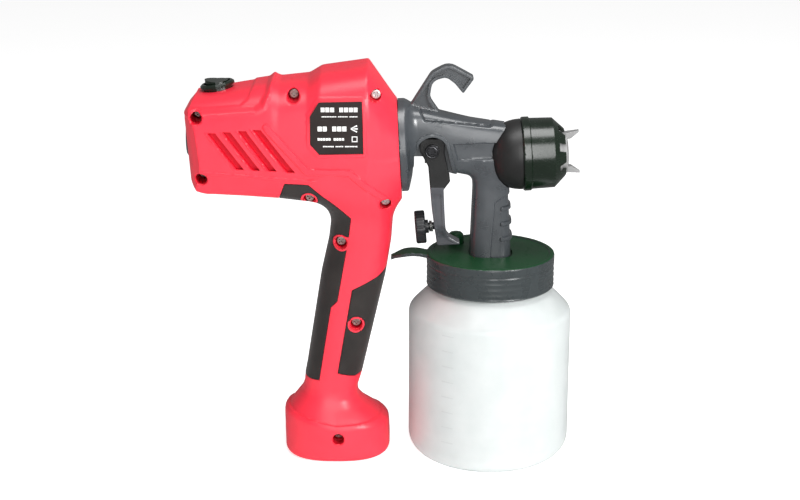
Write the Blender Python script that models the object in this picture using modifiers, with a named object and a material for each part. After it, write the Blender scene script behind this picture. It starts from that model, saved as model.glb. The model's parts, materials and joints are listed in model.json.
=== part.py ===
"""Hand-held electric paint sprayer: a blower unit with a pistol handle, and a spray gun on a paint bottle.

Run with: blender --background --python part.py
Frame: +X towards the nozzle, +Z up, origin at the centre of the bottle's base. The sprayer stands on the
bottle and on the foot of its handle. Lengths below are in millimetres and the helpers turn them into metres.
"""

import math

import bmesh
import bpy
from mathutils import Matrix, Vector

MM = 0.001
GAP = 0.3  # air between neighbouring pieces
SMOOTH_ANGLE = math.radians(35)
ROUND = 20  # sides of a large turned piece
INNER_ROUND = 12  # sides of a hidden or small one

# Bottle and lid, turned about Z
BOTTLE_RADIUS = 51.0
BOTTLE_WALL = 1.8
BOTTLE_EDGE = 13.0  # radius of the rounded lower edge
SHOULDER_BOTTOM = 93.0
SHOULDER_TOP = 110.8
NECK_RADIUS = 36.3
NECK_WALL = 2.4
NECK_TOP = 125.4
LID_RADIUS = 40.0
LID_BOTTOM = 111.4
LID_TOP = 130.0
LID_PLATE = 2.5
STUB_RADIUS = 9.0  # threaded stub of the gun, through the lid
STUB_BOTTOM = 121.0
VENT_AT = (-21.0, 21.0)
BRACE_END = -62.2  # where the lid's brace stops short of the handle
BRACE_HALF_WIDTH = 6.5
BRACE_THICKNESS = 2.2
BRACE_RISE = 3.0

# The blower and the gun share a small upward tilt against the bottle
TILT = 3.0
COLLAR_AT = Vector((-57.0, 0.0, 200.0))  # centre of the blower's front face
NOZZLE_AT = Vector((20.0, 0.0, 195.0))  # centre of the dome's front plane
COLLAR_RADIUS = 28.0
SPIGOT_RADIUS = 22.3
SPIGOT_LENGTH = 13.0
LUG_START = 20.0  # angle of the first bayonet lug, the others follow a third of a turn apart
BAYONET_TWIST = 40.0
DOME_LENGTH = 22.0
DOME_RADIUS = 21.8
NECK_TUBE_RADIUS = 11.0
NEEDLE_RADIUS = 1.0
PIPE_BEND = Vector((0.0, 0.0, 150.0))  # where the paint pipe in the pillar leans back, clear of the dome
PIPE_TOP = Vector((-6.0, 0.0, 191.0))

# Trigger
PIVOT_AT = Vector((-37.0, 0.0, 199.3))
PIVOT_RADIUS = 2.4
TRIGGER_HALF_WIDTH = 11.0
EAR_INSIDE = 8.1
BOSS_HALF_WIDTH = 7.8
KNOB_AT = Vector((-43.9, 0.0, 148.1))
KNOB_TILT = 5.0
KNOB_RADIUS = 10.5

# Blower unit
WALL = 2.5
HANDLE_WALL = 5.0  # leaves a full wall under the grip pads
GRIP_THICKNESS = 2.0
MOTOR_HEIGHT = 206.0
SWITCH_AT = Vector((-167.5, 0.0, 237.6))
SWITCH_SLOPE = 10.3
INTAKE_RADIUS = 12.5
GLAND_HEIGHT = 20.0
LABEL_CORNERS = [
    (-104.5, 203.5), (-78.5, 204.0), (-79.0, 235.5), (-104.5, 235.0), (-109.8, 226.5), (-109.8, 209.5),
]

# Blower barrel, rear to front: x, underside, top, half width, section power
BARREL_STATIONS = [
    (-186.5, 188.0, 221.0, 22.0, 2.6),
    (-184.5, 181.0, 229.5, 28.0, 2.6),
    (-180.0, 176.5, 234.0, 31.0, 2.6),
    (-170.0, 173.5, 236.6, 33.0, 2.6),
    (-150.0, 171.6, 240.0, 35.0, 2.6),
    (-130.0, 170.0, 242.0, 36.0, 2.7),
    (-112.0, 168.0, 244.0, 36.5, 3.0),
    (-104.0, 166.5, 248.5, 36.8, 3.2),
    (-76.0, 165.0, 252.5, 37.0, 3.4),
    (-68.0, 166.5, 242.5, 33.5, 2.8),
    (-57.0, 171.5, 229.0, 28.8, 2.1),
]
BARREL_LEAN_FROM = -76.0  # stations in front of this lean with the tilted front face

# Handle and foot, bottom to top: z, rear, front, half width, section power
HANDLE_STATIONS = [
    (0.0, -122.0, -72.0, 20.5, 2.2),
    (3.0, -127.0, -66.5, 25.5, 2.3),
    (10.0, -130.2, -63.2, 28.4, 2.4),
    (24.0, -130.2, -65.0, 27.8, 2.4),
    (32.0, -127.5, -74.5, 23.4, 2.4),
    (42.0, -118.2, -82.8, 18.2, 2.5),
    (54.0, -116.3, -80.8, 17.5, 2.5),
    (120.0, -105.8, -65.4, 18.5, 2.6),
    (142.0, -100.8, -61.9, 21.0, 2.6),
    (152.0, -99.6, -61.2, 24.0, 2.6),
    (160.0, -105.5, -60.6, 27.0, 2.7),
    (167.0, -126.0, -59.6, 30.0, 2.8),
    (176.0, -131.0, -58.8, 31.0, 2.8),
]

# Case screws: x, z, depth of the head's face from the parting plane
CASE_SCREWS = [
    (-120.0, 236.5, 18.0),
    (-71.0, 237.0, 24.0),
    (-65.5, 169.3, 17.0),
    (-178.0, 224.0, 14.0),
    (-176.0, 186.5, 14.0),
    (-111.5, 172.6, 18.0),
    (-92.8, 143.0, 13.0),
    (-84.0, 89.5, 11.0),
    (-95.5, 16.5, 18.0),
]
GRIP_SCREWS = (5, 6, 7)  # those among the grip pads
WELL_RADIUS = 3.5
BOSS_RADIUS = 5.2
SCREW_HEAD_RADIUS = 3.0
SCREW_SHANK_RADIUS = 1.5
SCREW_DEPTH = 9.0  # how far a screw reaches past the parting plane

# Soft grip pads on the handle, as side outlines
REAR_GRIP = [
    (-134.0, 158.0), (-131.0, 170.5), (-126.0, 181.0), (-111.5, 180.5), (-86.3, 158.5), (-88.0, 146.0),
    (-95.3, 105.0), (-99.5, 100.5), (-107.3, 52.0), (-122.0, 52.0), (-122.0, 100.0),
]
FRONT_GRIP = [
    (-56.0, 130.0), (-62.0, 127.0), (-70.5, 120.5), (-86.5, 112.5), (-96.0, 57.0), (-85.0, 54.0),
    (-74.0, 56.0),
]

# Gun duct, rear to front: x, underside, top, half width, section power
DUCT_STATIONS = [
    (-55.0, 184.0, 226.8, 18.0, 2.6),
    (-50.0, 190.0, 226.2, 16.5, 2.8),
    (-46.0, 194.5, 225.5, 15.5, 3.0),
    (-40.0, 194.2, 224.0, 14.8, 3.0),
    (-25.5, 184.5, 220.5, 13.8, 3.0),
    (-14.0, 182.5, 217.8, 13.2, 3.0),
    (9.0, 181.0, 214.3, 12.0, 3.0),
]
AIR_STATIONS = [
    (-72.0, 180.0, 218.5, 19.3, 2.0),
    (-56.0, 181.0, 219.5, 19.0, 2.0),
    (-46.0, 199.0, 221.5, 11.2, 2.0),
    (-20.0, 198.8, 216.0, 8.8, 2.0),
    (0.0, 197.0, 212.6, 8.0, 2.0),
    (30.0, 194.0, 210.0, 8.0, 2.0),
]
# Gun pillar, bottom to top: z, rear, front, half width, section power
PILLAR_STATIONS = [
    (130.4, -13.4, 13.4, 12.4, 3.0),
    (144.0, -12.9, 12.9, 12.0, 3.0),
    (175.0, -11.8, 10.9, 11.5, 3.0),
    (181.0, -13.5, 11.5, 11.8, 3.0),
    (190.0, -18.0, 13.0, 12.2, 3.0),
]
# Hook: x, z, corner radius
HOOK_CORNERS = [
    (-51.0, 225.0, 0), (-37.6, 246.2, 9), (-27.0, 251.8, 9), (-11.2, 243.2, 1.6), (-18.2, 233.4, 0.8),
    (-23.2, 239.4, 1.6), (-28.5, 243.6, 5), (-37.0, 241.0, 6), (-38.6, 230.5, 8), (-32.0, 221.0, 0),
]
HOOK_HALF_WIDTH = 4.2
TRIGGER_CORNERS = [
    (-44.6, 199.3, 0), (-44.6, 206.9, 7.4), (-29.4, 206.9, 7.4), (-29.4, 198.0, 0), (-25.8, 180.2, 1.5),
    (-29.8, 174.8, 2), (-29.3, 163.5, 20), (-27.6, 146.0, 4), (-19.6, 140.6, 0.8), (-19.4, 138.3, 0.8),
    (-33.6, 137.2, 1.5), (-37.1, 162.6, 40), (-39.4, 189.6, 4),
]


# ---------------------------------------------------------------- scene and materials

def clear_scene():
    for obj in list(bpy.data.objects):
        bpy.data.objects.remove(obj, do_unlink=True)


def plastic(name, colour, roughness, metallic=0.0, alpha=1.0):
    material = bpy.data.materials.new(name)
    material.use_nodes = True
    shader = material.node_tree.nodes["Principled BSDF"]
    shader.inputs["Base Color"].default_value = (*colour, 1.0)
    shader.inputs["Roughness"].default_value = roughness
    shader.inputs["Metallic"].default_value = metallic
    shader.inputs["Alpha"].default_value = alpha
    return material


def make_materials():
    return {
        "red": plastic("red_casing", (0.80, 0.02, 0.035), 0.38),
        "grip": plastic("soft_grip", (0.025, 0.022, 0.02), 0.75),
        "black": plastic("black_casing", (0.04, 0.042, 0.047), 0.45),
        "gloss": plastic("gloss_black", (0.012, 0.013, 0.014), 0.15),
        "lid": plastic("grey_lid", (0.045, 0.052, 0.058), 0.42),
        "bottle": plastic("milky_bottle", (0.86, 0.89, 0.86), 0.35, alpha=0.8),
        "rubber": plastic("rubber", (0.02, 0.02, 0.02), 0.85),
        "steel": plastic("steel", (0.62, 0.62, 0.60), 0.30, metallic=1.0),
        "brass": plastic("brass", (0.70, 0.52, 0.22), 0.30, metallic=1.0),
        "copper": plastic("copper", (0.72, 0.36, 0.20), 0.35, metallic=1.0),
        "foam": plastic("filter_foam", (0.05, 0.05, 0.05), 0.95),
        "label": plastic("label", (0.03, 0.022, 0.022), 0.30),
        "natural": plastic("natural_plastic", (0.80, 0.80, 0.76), 0.40),
        "carbon": plastic("carbon", (0.05, 0.05, 0.05), 0.60),
    }


# ---------------------------------------------------------------- frames

def frame_along(origin, tilt):
    """A frame whose local Z points forward along X, tilted up by tilt degrees."""
    return Matrix.Translation(Vector(origin) * MM) @ Matrix.Rotation(math.radians(90 - tilt), 4, "Y")


def frame_up(x=0.0, y=0.0, z=0.0, slope=0.0):
    """A frame whose local Z points up, leaning back by slope degrees."""
    return Matrix.Translation(Vector((x, y, z)) * MM) @ Matrix.Rotation(math.radians(-slope), 4, "Y")


COLLAR = frame_along(COLLAR_AT, TILT)
NOZZLE = frame_along(NOZZLE_AT, TILT)
MOTOR = frame_along((0.0, 0.0, MOTOR_HEIGHT), 0.0)
KNOB = frame_along(KNOB_AT, KNOB_TILT)
SWITCH = frame_up(*SWITCH_AT, slope=SWITCH_SLOPE)


def on_nozzle(along, up=0.0, side=0.0):
    """A point in millimetres, along the nozzle's axis from its frame's origin."""
    tilt = math.radians(TILT)
    return NOZZLE_AT + Vector(
        (along * math.cos(tilt) - up * math.sin(tilt), side, along * math.sin(tilt) + up * math.cos(tilt)),
    )


# ---------------------------------------------------------------- shape helpers

def shade(obj):
    obj.data.shade_smooth()
    obj.data.set_sharp_from_angle(angle=SMOOTH_ANGLE)
    return obj


def object_from(name, bm, material, matrix=None, turn_out=True):
    """An object from a bmesh. turn_out points its faces outwards, which would fill a hollow inside."""
    if turn_out:
        bmesh.ops.recalc_face_normals(bm, faces=bm.faces)
    mesh = bpy.data.meshes.new(name)
    bm.to_mesh(mesh)
    bm.free()
    obj = bpy.data.objects.new(name, mesh)
    obj.data.materials.append(material)
    PARTS.objects.link(obj)
    if matrix is not None:
        obj.matrix_world = matrix
    bpy.context.view_layer.update()
    return shade(obj)


def baked(obj, turn_out=True):
    """The object with its modifiers, or its curve, turned into a closed mesh."""
    bpy.context.view_layer.update()
    graph = bpy.context.evaluated_depsgraph_get()
    bm = bmesh.new()
    bm.from_mesh(bpy.data.meshes.new_from_object(obj.evaluated_get(graph)))
    bmesh.ops.remove_doubles(bm, verts=bm.verts, dist=1e-6)
    name, matrix, material = obj.name, obj.matrix_world.copy(), obj.data.materials[0]
    bpy.data.objects.remove(obj)
    return object_from(name, bm, material, matrix, turn_out)


def boolean(target, tools, operation):
    """The target joined with, cut by or limited to each tool, which is used up."""
    for tool in tools:
        modifier = target.modifiers.new(operation.lower(), "BOOLEAN")
        modifier.operation = operation
        modifier.object = tool
    result = baked(target, turn_out=False)
    for tool in tools:
        bpy.data.objects.remove(tool)
    return result


def join(target, *tools):
    return boolean(target, tools, "UNION")


def cut(target, *tools):
    return boolean(target, tools, "DIFFERENCE")


def keep_inside(target, *tools):
    return boolean(target, tools, "INTERSECT")


def copy_of(obj, name):
    twin = obj.copy()
    twin.data = obj.data.copy()
    twin.name = name
    PARTS.objects.link(twin)
    return twin


def box(name, low, high, material, matrix=None):
    bm = bmesh.new()
    low, high = Vector(low) * MM, Vector(high) * MM
    place = Matrix.Translation((low + high) / 2) @ Matrix.Diagonal((*(high - low), 1))
    bmesh.ops.create_cube(bm, size=1, matrix=place)
    return object_from(name, bm, material, matrix)


def rod(name, start, end, radius, material, segments=INNER_ROUND, matrix=None):
    """A cylinder between two points."""
    start, end = Vector(start) * MM, Vector(end) * MM
    line = end - start
    place = Matrix.Translation((start + end) / 2) @ line.to_track_quat("Z", "Y").to_matrix().to_4x4()
    bm = bmesh.new()
    bmesh.ops.create_cone(
        bm, cap_ends=True, segments=segments, radius1=radius * MM, radius2=radius * MM,
        depth=line.length, matrix=place,
    )
    return object_from(name, bm, material, matrix)


def turned(name, profile, material, matrix=None, segments=ROUND):
    """A profile of (along, radius) turned about local Z.

    It closes on the axis, or on itself when it stays clear of the axis.
    """
    mesh = bpy.data.meshes.new(name)
    points = [(radius * MM, 0.0, along * MM) for along, radius in profile]
    edges = [(i, i + 1) for i in range(len(points) - 1)]
    if min(radius for _, radius in profile) > 0:
        edges.append((len(points) - 1, 0))
    mesh.from_pydata(points, edges, [])
    mesh.materials.append(material)
    obj = bpy.data.objects.new(name, mesh)
    PARTS.objects.link(obj)
    if matrix is not None:
        obj.matrix_world = matrix
    screw = obj.modifiers.new("turn", "SCREW")
    screw.steps = screw.render_steps = segments
    screw.use_merge_vertices = True
    screw.merge_threshold = 1e-5
    return baked(obj)


def loft(name, rings, material):
    """A solid skinned over rings of points in millimetres, closed by flat ends."""
    bm = bmesh.new()
    loops = [[bm.verts.new(Vector(p) * MM) for p in ring] for ring in rings]
    for low, high in zip(loops, loops[1:]):
        for i in range(len(low)):
            j = (i + 1) % len(low)
            bm.faces.new((low[i], low[j], high[j], high[i]))
    bm.faces.new(loops[0])
    bm.faces.new(loops[-1])
    # Fixed diagonals keep a loft and its smaller copies the same distance apart.
    bmesh.ops.triangulate(bm, faces=bm.faces)
    return object_from(name, bm, material)


def superellipse(half_a, half_b, power, count):
    """Points of a rounded rectangle about the origin."""
    points = []
    for i in range(count):
        angle = 2 * math.pi * (i + 0.5) / count
        c, s = math.cos(angle), math.sin(angle)
        points.append((
            half_a * math.copysign(abs(c) ** (2 / power), c),
            half_b * math.copysign(abs(s) ** (2 / power), s),
        ))
    return points


def loft_along_x(name, stations, material, inset=0.0, count=18, lean_from=None, ends=(0.0, 0.0)):
    """Upright sections along X. ends moves the first and last section inwards."""
    rings = []
    for i, (x, low, high, half_width, power) in enumerate(stations):
        middle, half_height = (low + high) / 2, (high - low) / 2 - inset
        x += ends[0] if i == 0 else -ends[1] if i == len(stations) - 1 else 0.0
        lean = math.tan(math.radians(TILT)) if lean_from is not None and x > lean_from else 0.0
        ring = superellipse(half_width - inset, half_height, power, count)
        rings.append([(x - lean * (middle + z - COLLAR_AT.z), y, middle + z) for y, z in ring])
    return loft(name, rings, material)


def loft_along_z(name, stations, material, inset=0.0, count=14, ends=(0.0, 0.0)):
    """Level sections stacked along Z."""
    rings = []
    for i, (z, rear, front, half_width, power) in enumerate(stations):
        middle, half_length = (rear + front) / 2, (front - rear) / 2 - inset
        z += ends[0] if i == 0 else -ends[1] if i == len(stations) - 1 else 0.0
        shape = superellipse(half_length, half_width - inset, power, count)
        rings.append([(middle + x, y, z) for x, y in shape])
    return loft(name, rings, material)


def rounded(corners, steps=3):
    """Corners (x, z, radius) as points, each corner an arc of its radius."""
    points = []
    for i, (x, z, radius) in enumerate(corners):
        here = Vector((x, z))
        before = (Vector(corners[i - 1][:2]) - here).normalized()
        after = (Vector(corners[(i + 1) % len(corners)][:2]) - here).normalized()
        half = before.angle(after) / 2
        if radius <= 0 or half > math.radians(88):
            points.append(here)
            continue
        centre = here + (before + after).normalized() * radius / math.sin(half)
        first, last = here + before * radius / math.tan(half), here + after * radius / math.tan(half)
        turn = (first - centre).angle_signed(last - centre)
        for k in range(steps + 1):
            points.append(centre + Matrix.Rotation(-turn * k / steps, 2) @ (first - centre))
    return points


def prism(name, points, material, near, far, edge=0.0):
    """A side outline of (x, z) points, extruded along Y from near to far, with its rims bevelled by edge."""
    curve = bpy.data.curves.new(name, "CURVE")
    curve.dimensions = "2D"
    curve.fill_mode = "BOTH"
    curve.extrude = (far - near) / 2 * MM
    spline = curve.splines.new("POLY")
    spline.points.add(len(points) - 1)
    for slot, (x, z) in zip(spline.points, points):
        slot.co = (x * MM, z * MM, 0, 1)
    spline.use_cyclic_u = True
    curve.materials.append(material)
    obj = bpy.data.objects.new(name, curve)
    PARTS.objects.link(obj)
    # The curve lies in XY, so it is turned up into XZ, which sends its depth along -Y.
    obj.matrix_world = Matrix.Translation((0, (near + far) / 2 * MM, 0)) @ Matrix.Rotation(
        math.pi / 2, 4, "X",
    )
    obj = baked(obj)
    if edge > 0:
        bevel = obj.modifiers.new("rim", "BEVEL")
        bevel.width = edge * MM
        bevel.segments = 2
        bevel.limit_method = "ANGLE"
        bevel.angle_limit = math.radians(60)
        obj = baked(obj)
    return obj


def wire(name, points, radius, material, resolution=1):
    """A tube of round section along a line of points."""
    curve = bpy.data.curves.new(name, "CURVE")
    curve.dimensions = "3D"
    curve.bevel_depth = radius * MM
    curve.bevel_resolution = resolution
    curve.use_fill_caps = True
    spline = curve.splines.new("POLY")
    spline.points.add(len(points) - 1)
    for slot, point in zip(spline.points, points):
        slot.co = (*(Vector(point) * MM), 1)
    curve.materials.append(material)
    obj = bpy.data.objects.new(name, curve)
    PARTS.objects.link(obj)
    return obj


def coil(name, frame, start, end, radius, turns, wire_radius, material, points_per_turn=8):
    """A compression spring about a frame's Z axis."""
    points = []
    for i in range(turns * points_per_turn + 1):
        share = i / (turns * points_per_turn)
        angle = 2 * math.pi * turns * share
        local = Vector((radius * math.cos(angle), radius * math.sin(angle), start + (end - start) * share))
        points.append((frame @ (local * MM)) / MM)
    return wire(name, points, wire_radius, material)


def smooth_route(corners, spacing):
    """Points a fixed distance apart on a smooth curve through the corners."""
    dense = []
    for i in range(len(corners) - 1):
        a, b, c, d = (Vector(corners[min(max(k, 0), len(corners) - 1)]) for k in (i - 1, i, i + 1, i + 2))
        for k in range(20):
            t = k / 20
            bend, twist = 2 * a - 5 * b + 4 * c - d, 3 * b - a - 3 * c + d
            dense.append(0.5 * (2 * b + (c - a) * t + bend * t**2 + twist * t**3))
    dense.append(Vector(corners[-1]))
    route = [dense[0]]
    for point in dense[1:]:
        if (point - route[-1]).length >= spacing:
            route.append(point)
    return route


def arc(centre_a, centre_b, radius_a, radius_b, start, end, steps):
    """Profile points on an ellipse arc, angles in degrees."""
    angles = [math.radians(start + (end - start) * k / steps) for k in range(steps + 1)]
    return [(centre_a + radius_a * math.sin(a), centre_b + radius_b * math.cos(a)) for a in angles]


# ---------------------------------------------------------------- bottle and lid

def make_bottle():
    edge_centre = BOTTLE_RADIUS - BOTTLE_EDGE
    shoulder_radius = BOTTLE_RADIUS - NECK_RADIUS - 1.5
    rise = SHOULDER_TOP - SHOULDER_BOTTOM
    outer = [(0.0, 0.0)]
    outer += [(BOTTLE_EDGE - BOTTLE_EDGE * math.cos(a), edge_centre + BOTTLE_EDGE * math.sin(a))
              for a in (math.pi / 2 * k / 4 for k in range(5))]
    outer += [(SHOULDER_BOTTOM + rise * math.sin(a), BOTTLE_RADIUS - shoulder_radius * (1 - math.cos(a)))
              for a in (math.pi / 2 * k / 4 for k in range(5))]
    outer += [(SHOULDER_TOP, NECK_RADIUS), (NECK_TOP, NECK_RADIUS)]
    inner_edge = BOTTLE_EDGE - BOTTLE_WALL
    inner = [(NECK_TOP, NECK_RADIUS - NECK_WALL), (SHOULDER_TOP - 1.0, NECK_RADIUS - NECK_WALL)]
    inner_radius, inner_rise = BOTTLE_RADIUS - BOTTLE_WALL, rise - BOTTLE_WALL
    inner += [(SHOULDER_BOTTOM + inner_rise * math.sin(a), inner_radius - shoulder_radius * (1 - math.cos(a)))
              for a in (math.pi / 2 * k / 3 for k in range(3, -1, -1))]
    inner += [(BOTTLE_EDGE - inner_edge * math.cos(a), edge_centre + inner_edge * math.sin(a))
              for a in (math.pi / 2 * k / 3 for k in range(3, -1, -1))]
    inner.append((BOTTLE_WALL, 0.0))
    return turned("bottle", outer + inner, MATERIALS["bottle"])


def make_lid():
    inside = NECK_RADIUS + 1.2
    plate = turned("cup_lid", [
        (LID_TOP, STUB_RADIUS + GAP), (LID_TOP, LID_RADIUS - 1.5), (LID_TOP - 1.5, LID_RADIUS),
        (LID_BOTTOM + 2.0, LID_RADIUS), (LID_BOTTOM, LID_RADIUS - 1.3), (LID_BOTTOM, inside),
        (LID_TOP - LID_PLATE, inside), (LID_TOP - LID_PLATE, STUB_RADIUS + GAP),
    ], MATERIALS["lid"])
    start, steps = -LID_RADIUS + 2.2, 8
    top, bottom = [], []
    for k in range(steps + 1):
        x = start + (BRACE_END - start) * k / steps
        rise = BRACE_RISE * math.sin(math.pi * min(k / steps, 1.0) * 0.85) - 0.6
        top.append((x, LID_TOP + rise))
        bottom.append((x, LID_TOP + rise - BRACE_THICKNESS))
    brace = prism("brace", top + bottom[::-1], MATERIALS["lid"], -BRACE_HALF_WIDTH, BRACE_HALF_WIDTH)
    vent_hole = rod("vent_hole", (*VENT_AT, LID_TOP - 6), (*VENT_AT, LID_TOP + 6), 2.8, MATERIALS["lid"])
    return cut(join(plate, brace), vent_hole)


def make_cup_fittings():
    turned("lid_gasket", [
        (NECK_TOP + GAP, NECK_RADIUS - NECK_WALL - 0.8), (NECK_TOP + GAP, NECK_RADIUS + 0.6),
        (LID_TOP - LID_PLATE - GAP, NECK_RADIUS + 0.6),
        (LID_TOP - LID_PLATE - GAP, NECK_RADIUS - NECK_WALL - 0.8),
    ], MATERIALS["rubber"])
    turned("lid_nut", [
        (122.6, STUB_RADIUS + GAP), (122.6, 13.5), (LID_TOP - LID_PLATE - GAP, 13.5),
        (LID_TOP - LID_PLATE - GAP, STUB_RADIUS + GAP),
    ], MATERIALS["black"])
    turned("lid_vent", [
        (LID_TOP - 7.0, 0.0), (LID_TOP - 7.0, 2.4), (LID_TOP + GAP, 2.4), (LID_TOP + GAP, 4.6),
        (LID_TOP + 6.5, 5.0),
        (LID_TOP + 8.6, 3.6), (LID_TOP + 9.0, 0.0),
    ], MATERIALS["rubber"], matrix=frame_up(*VENT_AT), segments=INNER_ROUND)
    turned(
        "siphon_tube", [(9.0, 1.9), (9.0, 2.7), (128.0, 2.7), (128.0, 1.9)], MATERIALS["natural"],
        segments=INNER_ROUND,
    )
    turned(
        "paint_strainer", [(3.6, 2.0), (3.6, 5.4), (13.0, 5.4), (16.0, 3.0), (8.6, 3.0), (8.6, 2.0)],
        MATERIALS["natural"], segments=INNER_ROUND,
    )


# ---------------------------------------------------------------- spray gun

def spigot_lugs():
    """Bayonet lugs, a third of a turn apart."""
    lugs = []
    for k in range(3):
        turn = COLLAR @ Matrix.Rotation(math.radians(LUG_START + 120 * k), 4, "Z")
        lugs.append(box(f"lug_{k}", (21.0, -3.2, -11.0), (24.2, 3.2, -8.2), MATERIALS["black"], turn))
    return lugs


def make_gun_body():
    black = MATERIALS["black"]
    duct = loft_along_x("gun_body", DUCT_STATIONS, black, count=16)
    pillar = loft_along_z("pillar", PILLAR_STATIONS, black)
    body = join(duct, pillar)
    space_radius = DOME_RADIUS + 0.4
    space = arc(0.0, 0.0, DOME_LENGTH + 0.4, space_radius, -87, 0, 6)
    dome_space = turned(
        "dome_space", [(-DOME_LENGTH - 1, 0.0), *space, (8.0, space_radius), (8.0, 0.0)], black, NOZZLE,
    )
    body = cut(body, dome_space)
    collar = turned("collar", [
        (GAP, 0.0), (GAP, COLLAR_RADIUS), (5.0, COLLAR_RADIUS), (6.2, 25.0), (7.6, 20.0), (9.5, 16.0),
        (9.5, 0.0),
    ], black, COLLAR)
    spigot = rod(
        "spigot", (0, 0, -SPIGOT_LENGTH), (0, 0, 1), SPIGOT_RADIUS, black, segments=ROUND, matrix=COLLAR,
    )
    neck = rod(
        "neck", (0, 0, -DOME_LENGTH - 6), (0, 0, -3.0), NECK_TUBE_RADIUS, black, segments=ROUND,
        matrix=NOZZLE,
    )
    stub = rod("stub", (0, 0, STUB_BOTTOM), (0, 0, 136), STUB_RADIUS, black, segments=ROUND)
    hook = prism("hook", rounded(HOOK_CORNERS), black, -HOOK_HALF_WIDTH, HOOK_HALF_WIDTH)
    body = join(body, collar, spigot, neck, stub, hook, *spigot_lugs())
    air = loft_along_x("air", AIR_STATIONS, black, count=12)
    core_hole = rod("core_hole", on_nozzle(-33.0), on_nozzle(4.0), 6.8, black)
    spring_hole = rod("spring_hole", on_nozzle(-51.2), on_nozzle(-32.0), 4.7, black)
    needle_hole = rod("needle_hole", on_nozzle(-70.0), on_nozzle(-50.0), 1.6, black)
    paint_hole = rod("paint_hole", (0, 0, 115), PIPE_BEND + Vector((0, 0, 0.7)), 5.4, black)
    upper_hole = rod("upper_hole", PIPE_BEND - Vector((-0.5, 0, 2.5)), PIPE_TOP, 5.2, black)
    pivot_hole = rod(
        "pivot_hole", PIVOT_AT + Vector((0, -30, 0)), PIVOT_AT + Vector((0, 30, 0)), PIVOT_RADIUS + GAP,
        black,
    )
    pull_pocket = box("pull_pocket", (-49.0, -9.0, 186.0), (-33.2, 9.0, 195.2), black)
    body = cut(
        body, air, core_hole, spring_hole, needle_hole, paint_hole, upper_hole, pivot_hole, pull_pocket,
    )
    recess = [(-48.0, 178.0), (-48.0, 199.3)]
    recess += [(PIVOT_AT.x + 9.6 * math.cos(a), PIVOT_AT.z + 9.6 * math.sin(a))
               for a in (math.radians(180 - 12 * k) for k in range(1, 14))]
    recess += [(-23.8, 184.0), (-24.0, 178.0)]
    for near, far in ((-30, -BOSS_HALF_WIDTH), (BOSS_HALF_WIDTH, 30)):
        body = cut(body, prism("recess", recess, black, near, far))
    return body


def make_gun_internals():
    core = rod("fluid_core", on_nozzle(-32.6), on_nozzle(4.0), 6.5, MATERIALS["natural"])
    core = join(
        core,
        rod("pipe", (0, 0, STUB_BOTTOM), PIPE_BEND, 5.1, MATERIALS["natural"]),
        rod("upper_pipe", PIPE_BEND - Vector((0, 0, 1)), PIPE_TOP, 4.9, MATERIALS["natural"]),
    )
    cut(
        core,
        rod("fluid_bore", on_nozzle(-28.0), on_nozzle(5.0), 2.8, MATERIALS["natural"]),
        rod("needle_bore", on_nozzle(-34.0), on_nozzle(-27.0), 1.4, MATERIALS["natural"]),
        rod("pipe_bore", (0, 0, 120), PIPE_BEND, 3.0, MATERIALS["natural"]),
        rod("upper_bore", PIPE_BEND - Vector((-0.2, 0, 1.7)), PIPE_TOP, 2.8, MATERIALS["natural"]),
    )
    turned(
        "packing_nut", [(-38.4, 1.3), (-38.4, 4.3), (-33.0, 4.3), (-33.0, 1.3)], MATERIALS["brass"], NOZZLE,
        segments=INNER_ROUND,
    )
    turned("needle", [
        (-61.6, 0.0), (-61.6, 2.8), (-58.9, 2.8), (-58.9, NEEDLE_RADIUS), (-40.6, NEEDLE_RADIUS),
        (-40.6, 3.6), (-39.2, 3.6),
        (-39.2, NEEDLE_RADIUS), (23.5, NEEDLE_RADIUS), (27.4, 0.0),
    ], MATERIALS["steel"], NOZZLE, segments=INNER_ROUND)
    coil("needle_spring", NOZZLE, -50.5, -44.6, 3.0, 4, 0.45, MATERIALS["steel"])


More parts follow.
